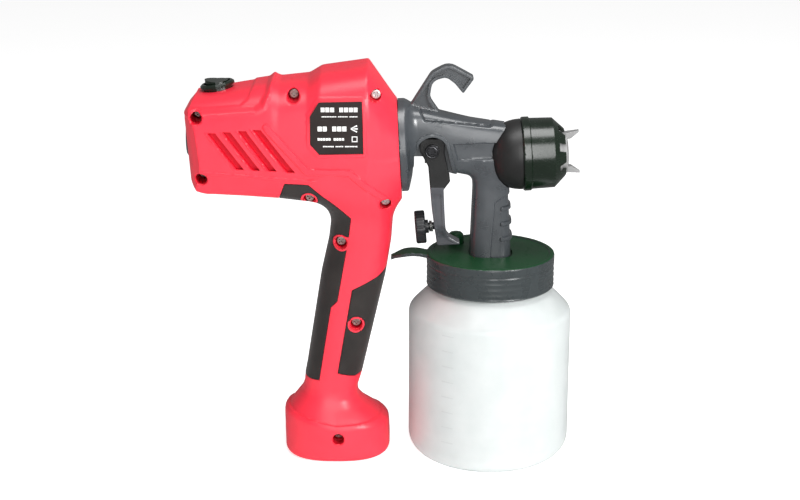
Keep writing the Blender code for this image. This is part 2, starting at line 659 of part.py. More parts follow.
def make_nozzle():
    inner_length, inner_radius = DOME_LENGTH - 2.2, DOME_RADIUS - 2.2
    outer = arc(0.0, 0.0, DOME_LENGTH, DOME_RADIUS, -58, -5, 5)
    inner = arc(0.0, 0.0, inner_length, inner_radius, -24, -54, 3)
    turned("nozzle_dome", [
        (-18.3, NECK_TUBE_RADIUS + GAP), *outer, (-1.8, 19.3), (8.0, 19.3), (8.0, 17.4), *inner,
        (-15.6, NECK_TUBE_RADIUS + GAP),
    ], MATERIALS["black"], NOZZLE)
    ring = turned("cap_ring", [
        (-1.5, 19.7), (-1.5, 22.3), (-0.8, 22.8), (3.0, 22.8), (3.6, 21.9), (17.5, 21.5), (24.6, 14.6),
        (24.6, 13.3), (22.5, 13.3), (22.5, 15.2), (15.0, 19.7),
    ], MATERIALS["gloss"], NOZZLE)
    notches = []
    for k in range(8):
        turn = NOZZLE @ Matrix.Rotation(math.pi * (k + 0.5) / 4, 4, "Z")
        notches.append(box(f"notch_{k}", (13.2, -2.2, 22.9), (30.0, 2.2, 30.0), MATERIALS["gloss"], turn))
    cut(ring, *notches)
    cap = turned("air_cap", [
        (20.0, 3.1), (20.0, 14.6), (22.1, 14.6), (22.1, 12.9), (25.4, 12.9), (26.6, 8.0), (25.2, 3.1),
    ], MATERIALS["gloss"], NOZZLE)
    horn_side = [(24.6, 8.4), (24.6, 12.2), (33.6, 13.4), (33.6, 12.4), (28.6, 8.8)]
    for side in (1, -1):
        outline = [tuple(on_nozzle(along, side * up).xz) for along, up in horn_side]
        cap = join(cap, prism("horn", outline[::side], MATERIALS["gloss"], -3.6, 3.6))
    turned("fluid_nozzle", [
        (4.3, 1.4), (4.3, 8.0), (11.0, 8.0), (15.0, 5.0), (19.5, 2.7), (27.0, 2.2), (27.0, 1.4),
    ], MATERIALS["brass"], NOZZLE, segments=INNER_ROUND)
    turned(
        "air_distributor", [(4.3, 8.3), (4.3, 17.1), (7.4, 17.1), (7.4, 8.3)], MATERIALS["natural"], NOZZLE,
        segments=INNER_ROUND,
    )


def beside_pivot(side):
    """A point on the trigger's axis, to one side of the gun."""
    return PIVOT_AT + Vector((0, side, 0))


def make_trigger():
    black = MATERIALS["black"]
    blade = prism("trigger", rounded(TRIGGER_CORNERS), black, -TRIGGER_HALF_WIDTH, TRIGGER_HALF_WIDTH)
    blade = cut(
        blade,
        box("ear_slot", (-60, -EAR_INSIDE, 183.6), (-10, EAR_INSIDE, 220), black),
        rod("ear_hole", beside_pivot(-20), beside_pivot(20), PIVOT_RADIUS + GAP, black),
        rod("stud_hole", (0, 0, -4), (0, 0, 30), 2.7, black, matrix=KNOB),
    )
    needle_height = on_nozzle((PIVOT_AT.x - NOZZLE_AT.x) / math.cos(math.radians(TILT))).z
    for inner, outer in ((-1.5, -9.5), (1.5, 9.5)):
        start, end = (PIVOT_AT.x, inner, needle_height), (PIVOT_AT.x, outer, needle_height)
        blade = join(blade, rod("pull_lug", start, end, 1.4, black))
    steel, reach = MATERIALS["steel"], TRIGGER_HALF_WIDTH + GAP
    pin = rod("pivot_screw", beside_pivot(-13.2), beside_pivot(12.6), PIVOT_RADIUS, steel)
    head = rod("head", beside_pivot(-13.2), beside_pivot(-reach), 4.4, steel)
    nut = rod("nut", beside_pivot(reach), beside_pivot(13.2), 4.4, steel, segments=6)
    join(pin, head, nut)
    turned("flow_knob", [
        (-3.2, 0.0), (-3.2, 8.8), (-2.2, KNOB_RADIUS), (2.2, KNOB_RADIUS), (3.2, 8.6), (3.2, 4.4),
        (5.2, 4.0), (5.2, 2.3),
        (15.6, 2.3), (15.6, 0.0),
    ], MATERIALS["black"], KNOB, segments=INNER_ROUND)
    coil("knob_spring", KNOB, 5.6, 7.4, 3.2, 2, 0.4, MATERIALS["steel"])


# ---------------------------------------------------------------- blower casing

def casing_solid(name, inset=0.0, handle_inset=None, ends=(0.0, 0.0)):
    """The blower's outer body, or the same body shrunk by an inset."""
    handle_inset = inset if handle_inset is None else handle_inset
    barrel = loft_along_x(
        name, BARREL_STATIONS, MATERIALS["red"], inset, lean_from=BARREL_LEAN_FROM, ends=ends,
    )
    handle = loft_along_z(
        "handle", HANDLE_STATIONS, MATERIALS["red"], handle_inset, ends=(ends[0], handle_inset / 2),
    )
    return join(barrel, handle)


def offset_outline(points, distance):
    """An outline, drawn either way round, moved outwards by a distance."""
    area = sum(a[0] * b[1] - b[0] * a[1] for a, b in zip(points, points[1:] + points[:1]))
    side = distance * math.copysign(1, area)
    moved = []
    for i, point in enumerate(points):
        here, before, after = Vector(point), Vector(points[i - 1]), Vector(points[(i + 1) % len(points)])
        first, second = (here - before).normalized(), (after - here).normalized()
        normal = (Vector((first.y, -first.x)) + Vector((second.y, -second.x))).normalized()
        stretch = 1 / max(0.5, normal.dot(Vector((first.y, -first.x))))
        moved.append(tuple(here + normal * side * stretch))
    return moved


def half_space(side):
    """A block over the far side of the parting plane."""
    near, far = (-GAP / 2, 120) if side < 0 else (-120, GAP / 2)
    return box("half_space", (-260, near, -20), (40, far, 300), MATERIALS["red"])


def make_grips():
    skin = casing_solid("skin")
    core = casing_solid("core", GRIP_THICKNESS)
    layer = cut(skin, core)
    for place, outline in (("rear", REAR_GRIP), ("front", FRONT_GRIP)):
        zone = prism("zone", offset_outline(outline, -GAP), MATERIALS["grip"], -60, 60)
        pad = keep_inside(copy_of(layer, f"{place}_grip"), zone)
        pad.data.materials.clear()
        pad.data.materials.append(MATERIALS["grip"])
        wells, radius = [CASE_SCREWS[k] for k in GRIP_SCREWS], BOSS_RADIUS + GAP
        holes = [rod("well", (x, -60, z), (x, 0, z), radius, MATERIALS["grip"]) for x, z, _ in wells]
        right = cut(copy_of(pad, f"{place}_grip_right"), half_space(-1), *holes)
        left = cut(pad, half_space(1))
        left.name = f"{place}_grip_left"
        right.name = f"{place}_grip_right"
    bpy.data.objects.remove(layer)


def grip_recess(outline):
    """The space round the handle that a grip pad fills, left open in the casing."""
    return cut(
        prism("grip_recess", outline, MATERIALS["red"], -60, 60),
        casing_solid("core", GRIP_THICKNESS + GAP),
    )


def make_casing():
    red = MATERIALS["red"]
    shell = cut(casing_solid("shell"), casing_solid("cavity", WALL, HANDLE_WALL, (WALL, WALL + 0.5)))
    shell = cut(
        shell,
        grip_recess(REAR_GRIP),
        grip_recess(FRONT_GRIP),
        rod("front_opening", (0, 0, -4.1), (0, 0, 8), 26.6, red, segments=ROUND, matrix=COLLAR),
        rod("intake_opening", (0, 0, -200), (0, 0, -178), INTAKE_RADIUS + GAP, red, ROUND, MOTOR),
        rod("switch_opening", (0, 0, -8), (0, 0, 8), 9.0, red, matrix=SWITCH),
        rod("switch_seat", (0, 0, 0), (0, 0, 10), 11.2, red, matrix=SWITCH),
        rod("gland_opening", (-140, 0, GLAND_HEIGHT), (-120, 0, GLAND_HEIGHT), 6.3, red),
        prism("label_recess", offset_outline(LABEL_CORNERS, GAP), red, -50, -36.2),
    )
    for side, name in ((-1, "casing_right"), (1, "casing_left")):
        half = cut(copy_of(shell, name), half_space(side))
        bosses, holes = [], []
        for k, (x, z, depth) in enumerate(CASE_SCREWS):
            radius = BOSS_RADIUS if side < 0 else BOSS_RADIUS - 1.2
            inset = 1.0 if k not in GRIP_SCREWS else -0.3 if side < 0 else GRIP_THICKNESS + 1.0
            boss = rod("boss", (x, side * GAP / 2, z), (x, side * 60, z), radius, red)
            # On the right a boss among the grip pads shows as a raised ring. The others end inside the wall.
            bosses.append(keep_inside(boss, casing_solid("limit", inset)))
            if side < 0:
                holes.append(rod("well", (x, -60, z), (x, -depth + 2.6, z), WELL_RADIUS, red))
            holes.append(
                rod("pilot", (x, side * depth, z), (x, -side, z), SCREW_SHANK_RADIUS + GAP, red, segments=8),
            )
        half = cut(join(half, *bosses), *holes)
        half.name = name
    bpy.data.objects.remove(shell)


def make_case_screws():
    for k, (x, z, depth) in enumerate(CASE_SCREWS):
        shank = rod(
            f"case_screw_{k + 1}", (x, -depth + 1.0, z), (x, SCREW_DEPTH, z), SCREW_SHANK_RADIUS,
            MATERIALS["steel"], segments=8,
        )
        head = rod(
            "head", (x, -depth, z), (x, -depth + 2.2, z), SCREW_HEAD_RADIUS, MATERIALS["steel"],
        )
        join(shank, head)


def make_switch():
    turned("switch_body", [
        (-7.6, 0.0), (-7.6, 8.7), (0.2, 8.7), (0.2, 10.6), (1.4, 10.6), (2.4, 9.4), (2.4, 8.2), (-5.6, 8.2),
        (-5.6, 0.0),
    ], MATERIALS["black"], SWITCH)
    side = [(-8.2, -3.0), (8.2, -3.0), (8.2, 2.6), (0.0, 3.4), (-8.2, 5.6)]
    rocker = prism("switch_rocker", side, MATERIALS["gloss"], -9, 9)
    rocker.matrix_world = SWITCH @ rocker.matrix_world
    bore = rod("bore", (0, 0, -6), (0, 0, 10), 7.1, MATERIALS["gloss"], segments=ROUND, matrix=SWITCH)
    keep_inside(rocker, bore)


def make_intake():
    grille = turned("intake_grille", [
        (-186.8, 0.0), (-186.8, INTAKE_RADIUS - 1.5), (-185.6, INTAKE_RADIUS), (-181.0, INTAKE_RADIUS),
        (-181.0, INTAKE_RADIUS - 2.0),
        (-184.4, INTAKE_RADIUS - 2.6), (-184.4, 0.0),
    ], MATERIALS["black"], MOTOR)
    slots = []
    for k in range(-2, 3):
        reach = math.sqrt((INTAKE_RADIUS - 2.5) ** 2 - (k * 4.0) ** 2)
        height = MOTOR_HEIGHT + k * 4.0
        slots.append(
            box(f"slot_{k}", (-190, -reach, height - 1.0), (-180, reach, height + 1.0), MATERIALS["black"]),
        )
    cut(grille, *slots)
    turned(
        "air_filter", [(-180.6, 0.0), (-180.6, 12.0), (-174.5, 12.0), (-174.5, 0.0)], MATERIALS["foam"],
        MOTOR, segments=INNER_ROUND,
    )


def make_motor():
    steel, copper, black = MATERIALS["steel"], MATERIALS["copper"], MATERIALS["black"]
    rubber = MATERIALS["rubber"]
    turned("motor_stator", [(-149.0, 16.4), (-149.0, 24.5), (-117.0, 24.5), (-117.0, 16.4)], steel, MOTOR)
    turned("motor_rear_bracket", [
        (-164.0, 8.5), (-164.0, 16.5), (-156.0, 21.9), (-149.3, 21.9), (-149.3, 19.9), (-155.5, 19.9),
        (-161.5, 15.6), (-161.5, 8.5),
    ], black, MOTOR, segments=INNER_ROUND)
    turned("motor_front_bracket", [
        (-116.7, 19.5), (-116.7, 21.9), (-111.0, 21.9), (-106.2, 15.0), (-106.2, 8.5), (-108.8, 8.5),
        (-112.5, 19.5),
    ], steel, MOTOR, segments=INNER_ROUND)
    turned(
        "rear_bearing", [(-165.6, 2.9), (-165.6, 8.2), (-161.6, 8.2), (-161.6, 2.9)], steel, MOTOR,
        segments=INNER_ROUND,
    )
    turned(
        "front_bearing", [(-111.0, 2.9), (-111.0, 8.2), (-106.4, 8.2), (-106.4, 2.9)], steel, MOTOR,
        segments=INNER_ROUND,
    )
    turned("armature", [
        (-167.0, 0.0), (-167.0, 2.6), (-160.4, 2.6), (-160.4, 8.6), (-152.6, 8.6), (-152.6, 12.0),
        (-147.0, 15.8), (-121.0, 15.8),
        (-116.0, 11.0), (-114.0, 5.0), (-112.0, 2.6), (-82.0, 2.6), (-82.0, 0.0),
    ], copper, MOTOR, segments=INNER_ROUND)
    for side, name in ((-1, "brush_right"), (1, "brush_left")):
        inner, outer = sorted((side * 8.9, side * 15.0))
        box(
            name, (-159.2, inner, MOTOR_HEIGHT - 2.6), (-154.0, outer, MOTOR_HEIGHT + 2.6),
            MATERIALS["carbon"],
        )
    for name, start, radius in (("rear_mount", -148.0, 31.2), ("front_mount", -133.0, 32.6)):
        ring = turned(
            name, [(start, 24.8), (start, radius), (start + 6, radius), (start + 6, 24.8)], rubber, MOTOR,
        )
        low, high = MOTOR_HEIGHT - 40, MOTOR_HEIGHT - 20
        cut(ring, box("lead_notch", (start - 2, -5, low), (start + 8, 5, high), rubber))


def make_blower():
    turned("blower_scroll", [
        (-99.5, 13.0), (-99.5, 32.6), (-79.0, 32.6), (-79.0, 18.0), (-81.0, 18.0), (-81.0, 30.8),
        (-97.7, 30.8), (-97.7, 13.0),
    ], MATERIALS["black"], MOTOR)
    wheel = turned("impeller", [
        (-97.0, 2.9), (-97.0, 6.0), (-88.5, 7.5), (-88.5, 29.0), (-87.0, 29.0), (-87.0, 2.9),
    ], MATERIALS["natural"], MOTOR, segments=INNER_ROUND)
    blades = []
    for k in range(9):
        turn = Matrix.Translation((0, 0, MOTOR_HEIGHT * MM)) @ Matrix.Rotation(2 * math.pi * k / 9, 4, "X")
        swept = turn @ Matrix.Translation(Vector((0, 4.0, 18.0)) * MM) @ Matrix.Rotation(
            math.radians(28), 4, "X",
        )
        blades.append(box(f"blade_{k}", (-96.6, -0.6, -9.5), (-88.2, 0.6, 9.5), MATERIALS["natural"], swept))
    join(wheel, *blades)
    turned(
        "impeller_nut", [(-86.6, 3.2), (-86.6, 5.2), (-83.4, 5.2), (-83.4, 3.2)], MATERIALS["brass"], MOTOR,
        segments=6,
    )


def make_outlet():
    socket = turned("outlet_socket", [
        (-16.0, 22.7), (-16.0, 26.0), (-8.2, 26.0), (-8.2, 27.2), (-6.4, 27.2), (-6.4, 26.0), (-0.4, 26.0),
        (-0.4, 22.7),
        (-7.6, 22.7), (-7.6, 24.8), (-11.6, 24.8), (-11.6, 22.7),
    ], MATERIALS["black"], COLLAR)
    entries = []
    for k in range(3):
        turn = COLLAR @ Matrix.Rotation(math.radians(LUG_START + BAYONET_TWIST + 120 * k), 4, "Z")
        entries.append(box(f"entry_{k}", (20.0, -4.2, -9.0), (24.8, 4.2, 2.0), MATERIALS["black"], turn))
    x, z, _ = CASE_SCREWS[2]
    cut(socket, *entries, rod("boss_notch", (x, -40, z), (x, 40, z), BOSS_RADIUS + 0.6, MATERIALS["black"]))


def make_wiring():
    turned("cord_gland", [
        (-131.8, 3.4), (-131.8, 7.2), (-130.6, 7.8), (-130.6, 6.0), (-122.8, 6.0), (-122.8, 7.4),
        (-121.4, 7.4), (-119.5, 5.0), (-119.5, 3.4),
    ], MATERIALS["rubber"], frame_along((0, 0, GLAND_HEIGHT), 0.0), segments=INNER_ROUND)
    route = smooth_route([
        (-118.5, 0, 20.0), (-108.0, 0, 26.0), (-101.0, 0, 45.0), (-98.0, 0, 70.0), (-93.0, 0, 100.0),
        (-80.0, 0, 130.0),
        (-82.0, 0, 150.0), (-92.5, 0, 163.0), (-101.5, 0, 170.5), (-103.4, 0, 176.5), (-109.5, 0, 180.5),
        (-118.0, 0, 178.4),
        (-140.0, 0, 177.6), (-160.0, 0, 177.6), (-167.3, 0, 182.0), (-169.0, 0, 191.0), (-169.6, 0, 206.0),
        (-169.0, 0, 220.0),
    ], 6.0)
    wire("inner_lead", route, 1.7, MATERIALS["rubber"])
    box("lead_clamp", (-113.0, -7.5, 13.0), (-107.0, 7.5, 15.8), MATERIALS["natural"])


def make_label():
    prism("rating_label", LABEL_CORNERS, MATERIALS["label"], -37.1, -36.5)


clear_scene()
PARTS = bpy.data.collections.new("paint_sprayer")
bpy.context.scene.collection.children.link(PARTS)
MATERIALS = make_materials()
make_bottle()
make_lid()
make_cup_fittings()
make_gun_body()
make_gun_internals()
make_nozzle()
make_trigger()
make_casing()
make_grips()
make_case_screws()
make_switch()
make_intake()
make_motor()
make_blower()
make_outlet()
make_wiring()
make_label()
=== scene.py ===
"""Looks of the electric paint sprayer: a blower unit with a handle, and a spray gun on its bottle.

The moulded pieces are written as distance fields in millimetres and meshed by dual contouring, the turned
pieces are profiles, and the inner pieces keep their CAD shape with better materials.
"""
import json
from functools import reduce
from math import cos, hypot, pi, radians, sin, tan

import bpy
import bmesh
import numpy as np
from mathutils import Matrix, Vector


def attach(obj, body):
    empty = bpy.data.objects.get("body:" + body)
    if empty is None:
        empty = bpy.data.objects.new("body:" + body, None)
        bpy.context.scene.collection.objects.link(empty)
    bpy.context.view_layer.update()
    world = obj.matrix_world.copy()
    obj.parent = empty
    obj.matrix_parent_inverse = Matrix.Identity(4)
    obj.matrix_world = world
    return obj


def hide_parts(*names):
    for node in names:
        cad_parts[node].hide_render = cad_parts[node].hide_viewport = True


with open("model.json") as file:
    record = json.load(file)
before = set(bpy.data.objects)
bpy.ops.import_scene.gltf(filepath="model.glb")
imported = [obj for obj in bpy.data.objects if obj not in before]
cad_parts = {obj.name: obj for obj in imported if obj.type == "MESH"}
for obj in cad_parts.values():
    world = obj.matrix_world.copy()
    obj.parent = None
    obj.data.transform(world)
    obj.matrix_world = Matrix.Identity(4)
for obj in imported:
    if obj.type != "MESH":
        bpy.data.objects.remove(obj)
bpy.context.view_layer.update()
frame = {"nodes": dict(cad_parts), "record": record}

MM = 0.001
GAP = 0.3
FINE = 1.0  # coarser meshes while trying things


# ---------------------------------------------------------------- shapes as distance fields, in millimetres

def most(*values):
    """The largest of several distances: where all the shapes overlap."""
    return reduce(np.maximum, values)


def least(*values):
    """The smallest of several distances: the shapes joined."""
    return reduce(np.minimum, values)


def cut(body, *tools):
    """A shape with others taken away."""
    return most(body, *(-tool for tool in tools))


def round_max(a, b, radius):
    """The overlap of two shapes, its edge rounded."""
    edge = np.hypot(most(a + radius, 0), most(b + radius, 0))
    return least(most(a, b), -radius) + edge


def round_min(a, b, radius):
    """Two shapes joined, with a fillet between them."""
    return -round_max(-a, -b, radius)


def ramp(t, low, high):
    """Rises smoothly from 0 at low to 1 at high."""
    s = np.clip((t - low) / (high - low), 0, 1)
    return s * s * (3 - 2 * s)


def stations(rows, softness):
    """A table of sections along an axis, its corners softened."""
    rows = np.array(rows, float)
    t = np.arange(rows[0, 0] - 30, rows[-1, 0] + 30, 0.25)
    reach = np.arange(-4 * softness, 4 * softness + 0.1, 0.25)
    weights = np.exp(-0.5 * (reach / softness) ** 2)
    weights /= weights.sum()
    half = len(weights) // 2
    ends = (half, len(weights) - 1 - half)
    columns = [np.interp(t, rows[:, 0], column) for column in rows.T[1:]]
    return t, [np.convolve(np.pad(c, ends, "edge"), weights, "valid") for c in columns]


def section(table, where, across, up):
    """Distance from a body of superellipse sections along an axis: low edge, high edge, half width, power."""
    t, columns = table
    low, high, half, power = (np.interp(where, t, c) for c in columns)
    middle, height = (low + high) / 2, (high - low) / 2
    reach = (np.abs(across / half) ** power + np.abs((up - middle) / height) ** power) ** (1 / power)
    return np.hypot(across, up - middle) * (1 - 1 / most(reach, 1e-6))


def squared(u, v, pieces):
    """Squared distance from the nearest of some straight pieces."""
    best = np.full(u.shape, 1e12)
    for (ax, ay), (bx, by) in pieces:
        ex, ey, wx, wy = bx - ax, by - ay, u - ax, v - ay
        t = np.clip((wx * ex + wy * ey) / (ex * ex + ey * ey), 0, 1)
        best = least(best, (wx - ex * t) ** 2 + (wy - ey * t) ** 2)
    return best


def outline(u, v, corners):
    """Signed distance from a closed outline."""
    pieces, inside = list(zip(corners, corners[1:] + corners[:1])), np.zeros(u.shape, bool)
    for (ax, ay), (bx, by) in pieces:
        if ay != by:
            inside ^= ((ay > v) != (by > v)) & (u - ax < (bx - ax) * (v - ay) / (by - ay))
    return np.where(inside, -1, 1) * np.sqrt(squared(u, v, pieces))


def track(u, v, corners):
    """Distance from an open line."""
    return np.sqrt(squared(u, v, zip(corners, corners[1:])))


def rod(p, start, end, radius):
    start, end = np.array(start, float), np.array(end, float)
    length = np.linalg.norm(end - start)
    axis = (end - start) / length
    rel = p - start
    along = rel @ axis
    out = np.linalg.norm(rel - along[:, None] * axis, axis=1)
    return most(out - radius, -along, along - length)


def block(p, low, high):
    low, high = np.array(low, float), np.array(high, float)
    return (np.abs(p - (low + high) / 2) - (high - low) / 2).max(1)


def rounded(corners):
    """An outline with its corners rounded: each corner is x, z, radius."""
    made, steps = [], 4
    for i, (x, z, radius) in enumerate(corners):
        here = Vector((x, z))
        before, after = Vector(corners[i - 1][:2]), Vector(corners[(i + 1) % len(corners)][:2])
        if radius == 0:
            made.append((x, z))
            continue
        a, b = (before - here).normalized(), (after - here).normalized()
        half = a.angle(b) / 2
        trim = min(radius / tan(half), 0.48 * min((before - here).length, (after - here).length))
        true = trim * tan(half)
        centre = here + (a + b).normalized() * hypot(trim, true)
        first, last = here + a * trim - centre, here + b * trim - centre
        turn = first.angle_signed(last)
        for k in range(steps + 1):
            angle = -turn * k / steps
            c, s = cos(angle), sin(angle)
            made.append((centre.x + first.x * c - first.y * s, centre.y + first.x * s + first.y * c))
    return made


# ---------------------------------------------------------------- from a field to a mesh

BLOCK = 4


def surface(field, low, high, step):
    """Dual contouring: the points and four-sided faces where a field is zero, sharp edges kept."""
    low = np.array(low, float) - 1.5 * step
    blocks = np.ceil((np.array(high, float) + 1.5 * step - low) / step / BLOCK).astype(int) + 1
    size = blocks * BLOCK
    middles = low + (np.indices(blocks).reshape(3, -1).T * BLOCK + (BLOCK - 1) / 2) * step
    rough = field(middles)
    values = rough.reshape(blocks)
    for axis in range(3):
        values = values.repeat(BLOCK, axis)
    near = np.argwhere(np.abs(rough.reshape(blocks)) < BLOCK * step * 0.87 * 1.3 + 1.5)
    offsets = np.indices((BLOCK,) * 3).reshape(3, -1).T
    for part in np.array_split(near, max(1, len(near) // 6000)):
        points = (part[:, None, :] * BLOCK + offsets[None]).reshape(-1, 3)
        values[tuple(points.T)] = field(low + points * step)
    inside = values < 0
    where, axes, starts, at = [], [], [], []
    for axis in range(3):
        here = [slice(0, -1) if k == axis else slice(None) for k in range(3)]
        there = [slice(1, None) if k == axis else slice(None) for k in range(3)]
        found = np.argwhere(inside[tuple(here)] != inside[tuple(there)])
        unit = np.eye(3)[axis]
        base = low + found * step
        ta, tb = np.zeros(len(found)), np.ones(len(found))
        fa, fb = values[tuple(found.T)], values[tuple((found + unit.astype(int)).T)]
        for _ in range(3):
            t = np.clip(ta + (tb - ta) * fa / (fa - fb), 0, 1)
            f = field(base + t[:, None] * step * unit)
            left = (f < 0) == (fa < 0)
            ta, fa = np.where(left, t, ta), np.where(left, f, fa)
            tb, fb = np.where(left, tb, t), np.where(left, fb, f)
        t = np.clip(ta + (tb - ta) * fa / np.where(fa == fb, 1, fa - fb), 0, 1)
        where.append(found)
        axes.append(np.full(len(found), axis))
        starts.append(inside[tuple(found.T)])
        at.append(base + t[:, None] * step * unit)
    where, axes, starts, at = (np.concatenate(a) for a in (where, axes, starts, at))
    slope = np.zeros_like(at)
    for corner in ((1, -1, -1), (-1, -1, 1), (-1, 1, -1), (1, 1, 1)):
        corner = np.array(corner, float)
        slope += corner * field(at + corner * 0.03)[:, None]
    slope /= most(np.linalg.norm(slope, axis=1, keepdims=True), 1e-9)
    rounds = []
    for first, second in ((-1, -1), (0, -1), (0, 0), (-1, 0)):
        shift = np.zeros_like(where)
        shift[np.arange(len(where)), (axes + 1) % 3] = first
        shift[np.arange(len(where)), (axes + 2) % 3] = second
        rounds.append(np.ravel_multi_index(tuple((where + shift).T), size))
    cells = np.stack(rounds, 1)
    used, number = np.unique(cells, return_inverse=True)
    number = number.reshape(cells.shape)
    flat, points, normals = number.ravel(), np.repeat(at, 4, 0), np.repeat(slope, 4, 0)
    count = np.bincount(flat).astype(float)
    mean = np.stack([np.bincount(flat, points[:, k]) for k in range(3)], 1) / count[:, None]
    offset = ((points - mean[flat]) * normals).sum(1)
    lhs, rhs = np.zeros((len(used), 3, 3)), np.zeros((len(used), 3))
    for a in range(3):
        rhs[:, a] = np.bincount(flat, normals[:, a] * offset)
        for b in range(3):
            lhs[:, a, b] = np.bincount(flat, normals[:, a] * normals[:, b])
    lhs += np.eye(3) * 0.06 * count[:, None, None] / 4
    placed = mean + np.linalg.solve(lhs, rhs[:, :, None])[:, :, 0]
    corner = low + np.stack(np.unravel_index(used, size), 1) * step
    placed = np.clip(placed, corner - 0.1 * step, corner + 1.1 * step)
    faces = np.where(starts[:, None], number, number[:, ::-1])
    return placed, faces


def linked(name, data, sharp=None):
    """An object in the scene; with an angle given, its mesh is smooth up to edges that sharp."""
    if sharp:
        data.polygons.foreach_set("use_smooth", np.ones(len(data.polygons), bool))
        data.set_sharp_from_angle(angle=radians(sharp))
    obj = bpy.data.objects.new(name, data)
    bpy.context.scene.collection.objects.link(obj)
    return obj


def mesh_object(name, points, faces, sharp=30):
    """An object from points in millimetres and four-sided faces."""
    mesh = bpy.data.meshes.new(name)
    mesh.vertices.add(len(points))
    mesh.vertices.foreach_set("co", (points * MM).astype(np.float32).ravel())
    mesh.loops.add(faces.size)
    mesh.loops.foreach_set("vertex_index", faces.astype(np.int32).ravel())
    mesh.polygons.add(len(faces))
    mesh.polygons.foreach_set("loop_start", np.arange(0, faces.size, 4, dtype=np.int32))
    mesh.update(calc_edges=True)
    return linked(name, mesh, sharp)


def moulded(name, field, low, high, step, sharp=30):
    return mesh_object(name, *surface(field, low, high, step * FINE), sharp)


def from_bmesh(name, bm, sharp=None):
    mesh = bpy.data.meshes.new(name)
    bm.to_mesh(mesh)
    bm.free()
    return linked(name, mesh, sharp)


def turned(name, profile, matrix=Matrix.Identity(4), count=96, sharp=30):
    """A ring or solid of revolution: profile points are along the axis, then out from it."""
    bm = bmesh.new()
    rings = []
    turns = [(cos(a), sin(a)) for a in (2 * pi * k / count for k in range(count))]
    for along, out in profile:
        if out < 1e-6:
            rings.append([bm.verts.new((0, 0, along * MM))] * count)
        else:
            rings.append([bm.verts.new((out * c * MM, out * s * MM, along * MM)) for c, s in turns])
    closed = profile[0][1] > 1e-6 or profile[-1][1] > 1e-6
    for a, b in zip(rings, rings[1:] + rings[:1] if closed else rings[1:]):
        for k in range(count):
            quad = [a[k], a[(k + 1) % count], b[(k + 1) % count], b[k]]
            corners = [v for n, v in enumerate(quad) if v not in quad[:n]]
            if len(corners) > 2:
                bm.faces.new(corners)
    bm.transform(matrix)
    bmesh.ops.recalc_face_normals(bm, faces=bm.faces)
    return from_bmesh(name, bm, sharp)


def moved(x, y, z):
    """A move given in millimetres."""
    return Matrix.Translation(Vector((x, y, z)) * MM)


def per_face(mesh, what):
    """The centre or the normal of each face."""
    values = np.empty(3 * len(mesh.polygons), np.float32)
    mesh.polygons.foreach_get(what, values)
    return values.reshape(-1, 3)


def repaint(mesh, material, chosen):
    """A second material on the chosen faces."""
    mesh.materials.append(material)
    mesh.polygons.foreach_set("material_index", chosen.astype(np.int32))


# ---------------------------------------------------------------- materials

def set_inputs(node, **values):
    """Sets a node's inputs; an underscore stands for the space in an input's name."""
    for name, value in values.items():
        node.inputs[name.replace("_", " ")].default_value = value


class Nodes:
    """Short names for making a material's nodes. Coordinates are the object's own, in millimetres."""

    def __init__(self, name, colour, roughness, metallic=0.0):
        self.material = bpy.data.materials.new(name)
        self.material.use_nodes = True
        self.tree = self.material.node_tree
        self.shader = self.tree.nodes["Principled BSDF"]
        set_inputs(self.shader, Base_Color=(*colour, 1), Roughness=roughness, Metallic=metallic)
        place = self.tree.nodes.new("ShaderNodeTexCoord")
        scale = self.tree.nodes.new("ShaderNodeVectorMath")
        scale.operation = "SCALE"
        set_inputs(scale, Scale=1000.0)
        self.link(place.outputs["Object"], scale.inputs[0])
        self.place = scale.outputs[0]

    def link(self, a, b):
        self.tree.links.new(a, b)

    def put(self, socket, value):
        if isinstance(value, (int, float)):
            socket.default_value = value
        elif isinstance(value, tuple):
            socket.default_value = value if len(value) == 4 or socket.type == "VECTOR" else (*value, 1)
        else:
            self.link(value, socket)

    def math(self, operation, a, b=0.0, c=0.0):
        node = self.tree.nodes.new("ShaderNodeMath")
        node.operation = operation
        for socket, value in zip(node.inputs, (a, b, c)):
            self.put(socket, value)
        return node.outputs[0]

    def noise(self, size, detail=2.0, stretch=None, rough=0.5):
        """Noise from 0 to 1, its patches about size millimetres across."""
        node = self.tree.nodes.new("ShaderNodeTexNoise")
        set_inputs(node, Scale=1.0 / size, Detail=detail, Roughness=rough)
        source = self.place
        if stretch:
            mapping = self.tree.nodes.new("ShaderNodeMapping")
            set_inputs(mapping, Scale=stretch)
            self.link(source, mapping.inputs[0])
            source = mapping.outputs[0]
        self.link(source, node.inputs["Vector"])
        return node.outputs["Fac"]

    def span(self, value, low, high, to_low, to_high):
        node = self.tree.nodes.new("ShaderNodeMapRange")
        for socket, v in zip(node.inputs[:5], (value, low, high, to_low, to_high)):
            self.put(socket, v)
        return node.outputs[0]

    def mix(self, factor, a, b):
        node = self.tree.nodes.new("ShaderNodeMix")
        node.data_type = "RGBA"
        self.put(node.inputs[0], factor)
        self.put(node.inputs[6], a)
        self.put(node.inputs[7], b)
        return node.outputs[2]

    def xyz(self):
        node = self.tree.nodes.new("ShaderNodeSeparateXYZ")
        self.link(self.place, node.inputs[0])
        return node.outputs

    def bump(self, height, depth):
        """depth is in millimetres for a height of 1."""
        node = self.tree.nodes.new("ShaderNodeBump")
        set_inputs(node, Distance=depth * MM)
        self.link(height, node.inputs["Height"])
        return node.outputs[0]

    def finish(self, colour, roughness, normal=None):
        self.link(colour, self.shader.inputs["Base Color"])
        self.link(roughness, self.shader.inputs["Roughness"])
        if normal is not None:
            self.link(normal, self.shader.inputs["Normal"])
        return self.material


def shade_of(colour, amount):
    return tuple(min(1.0, c * amount) for c in colour)


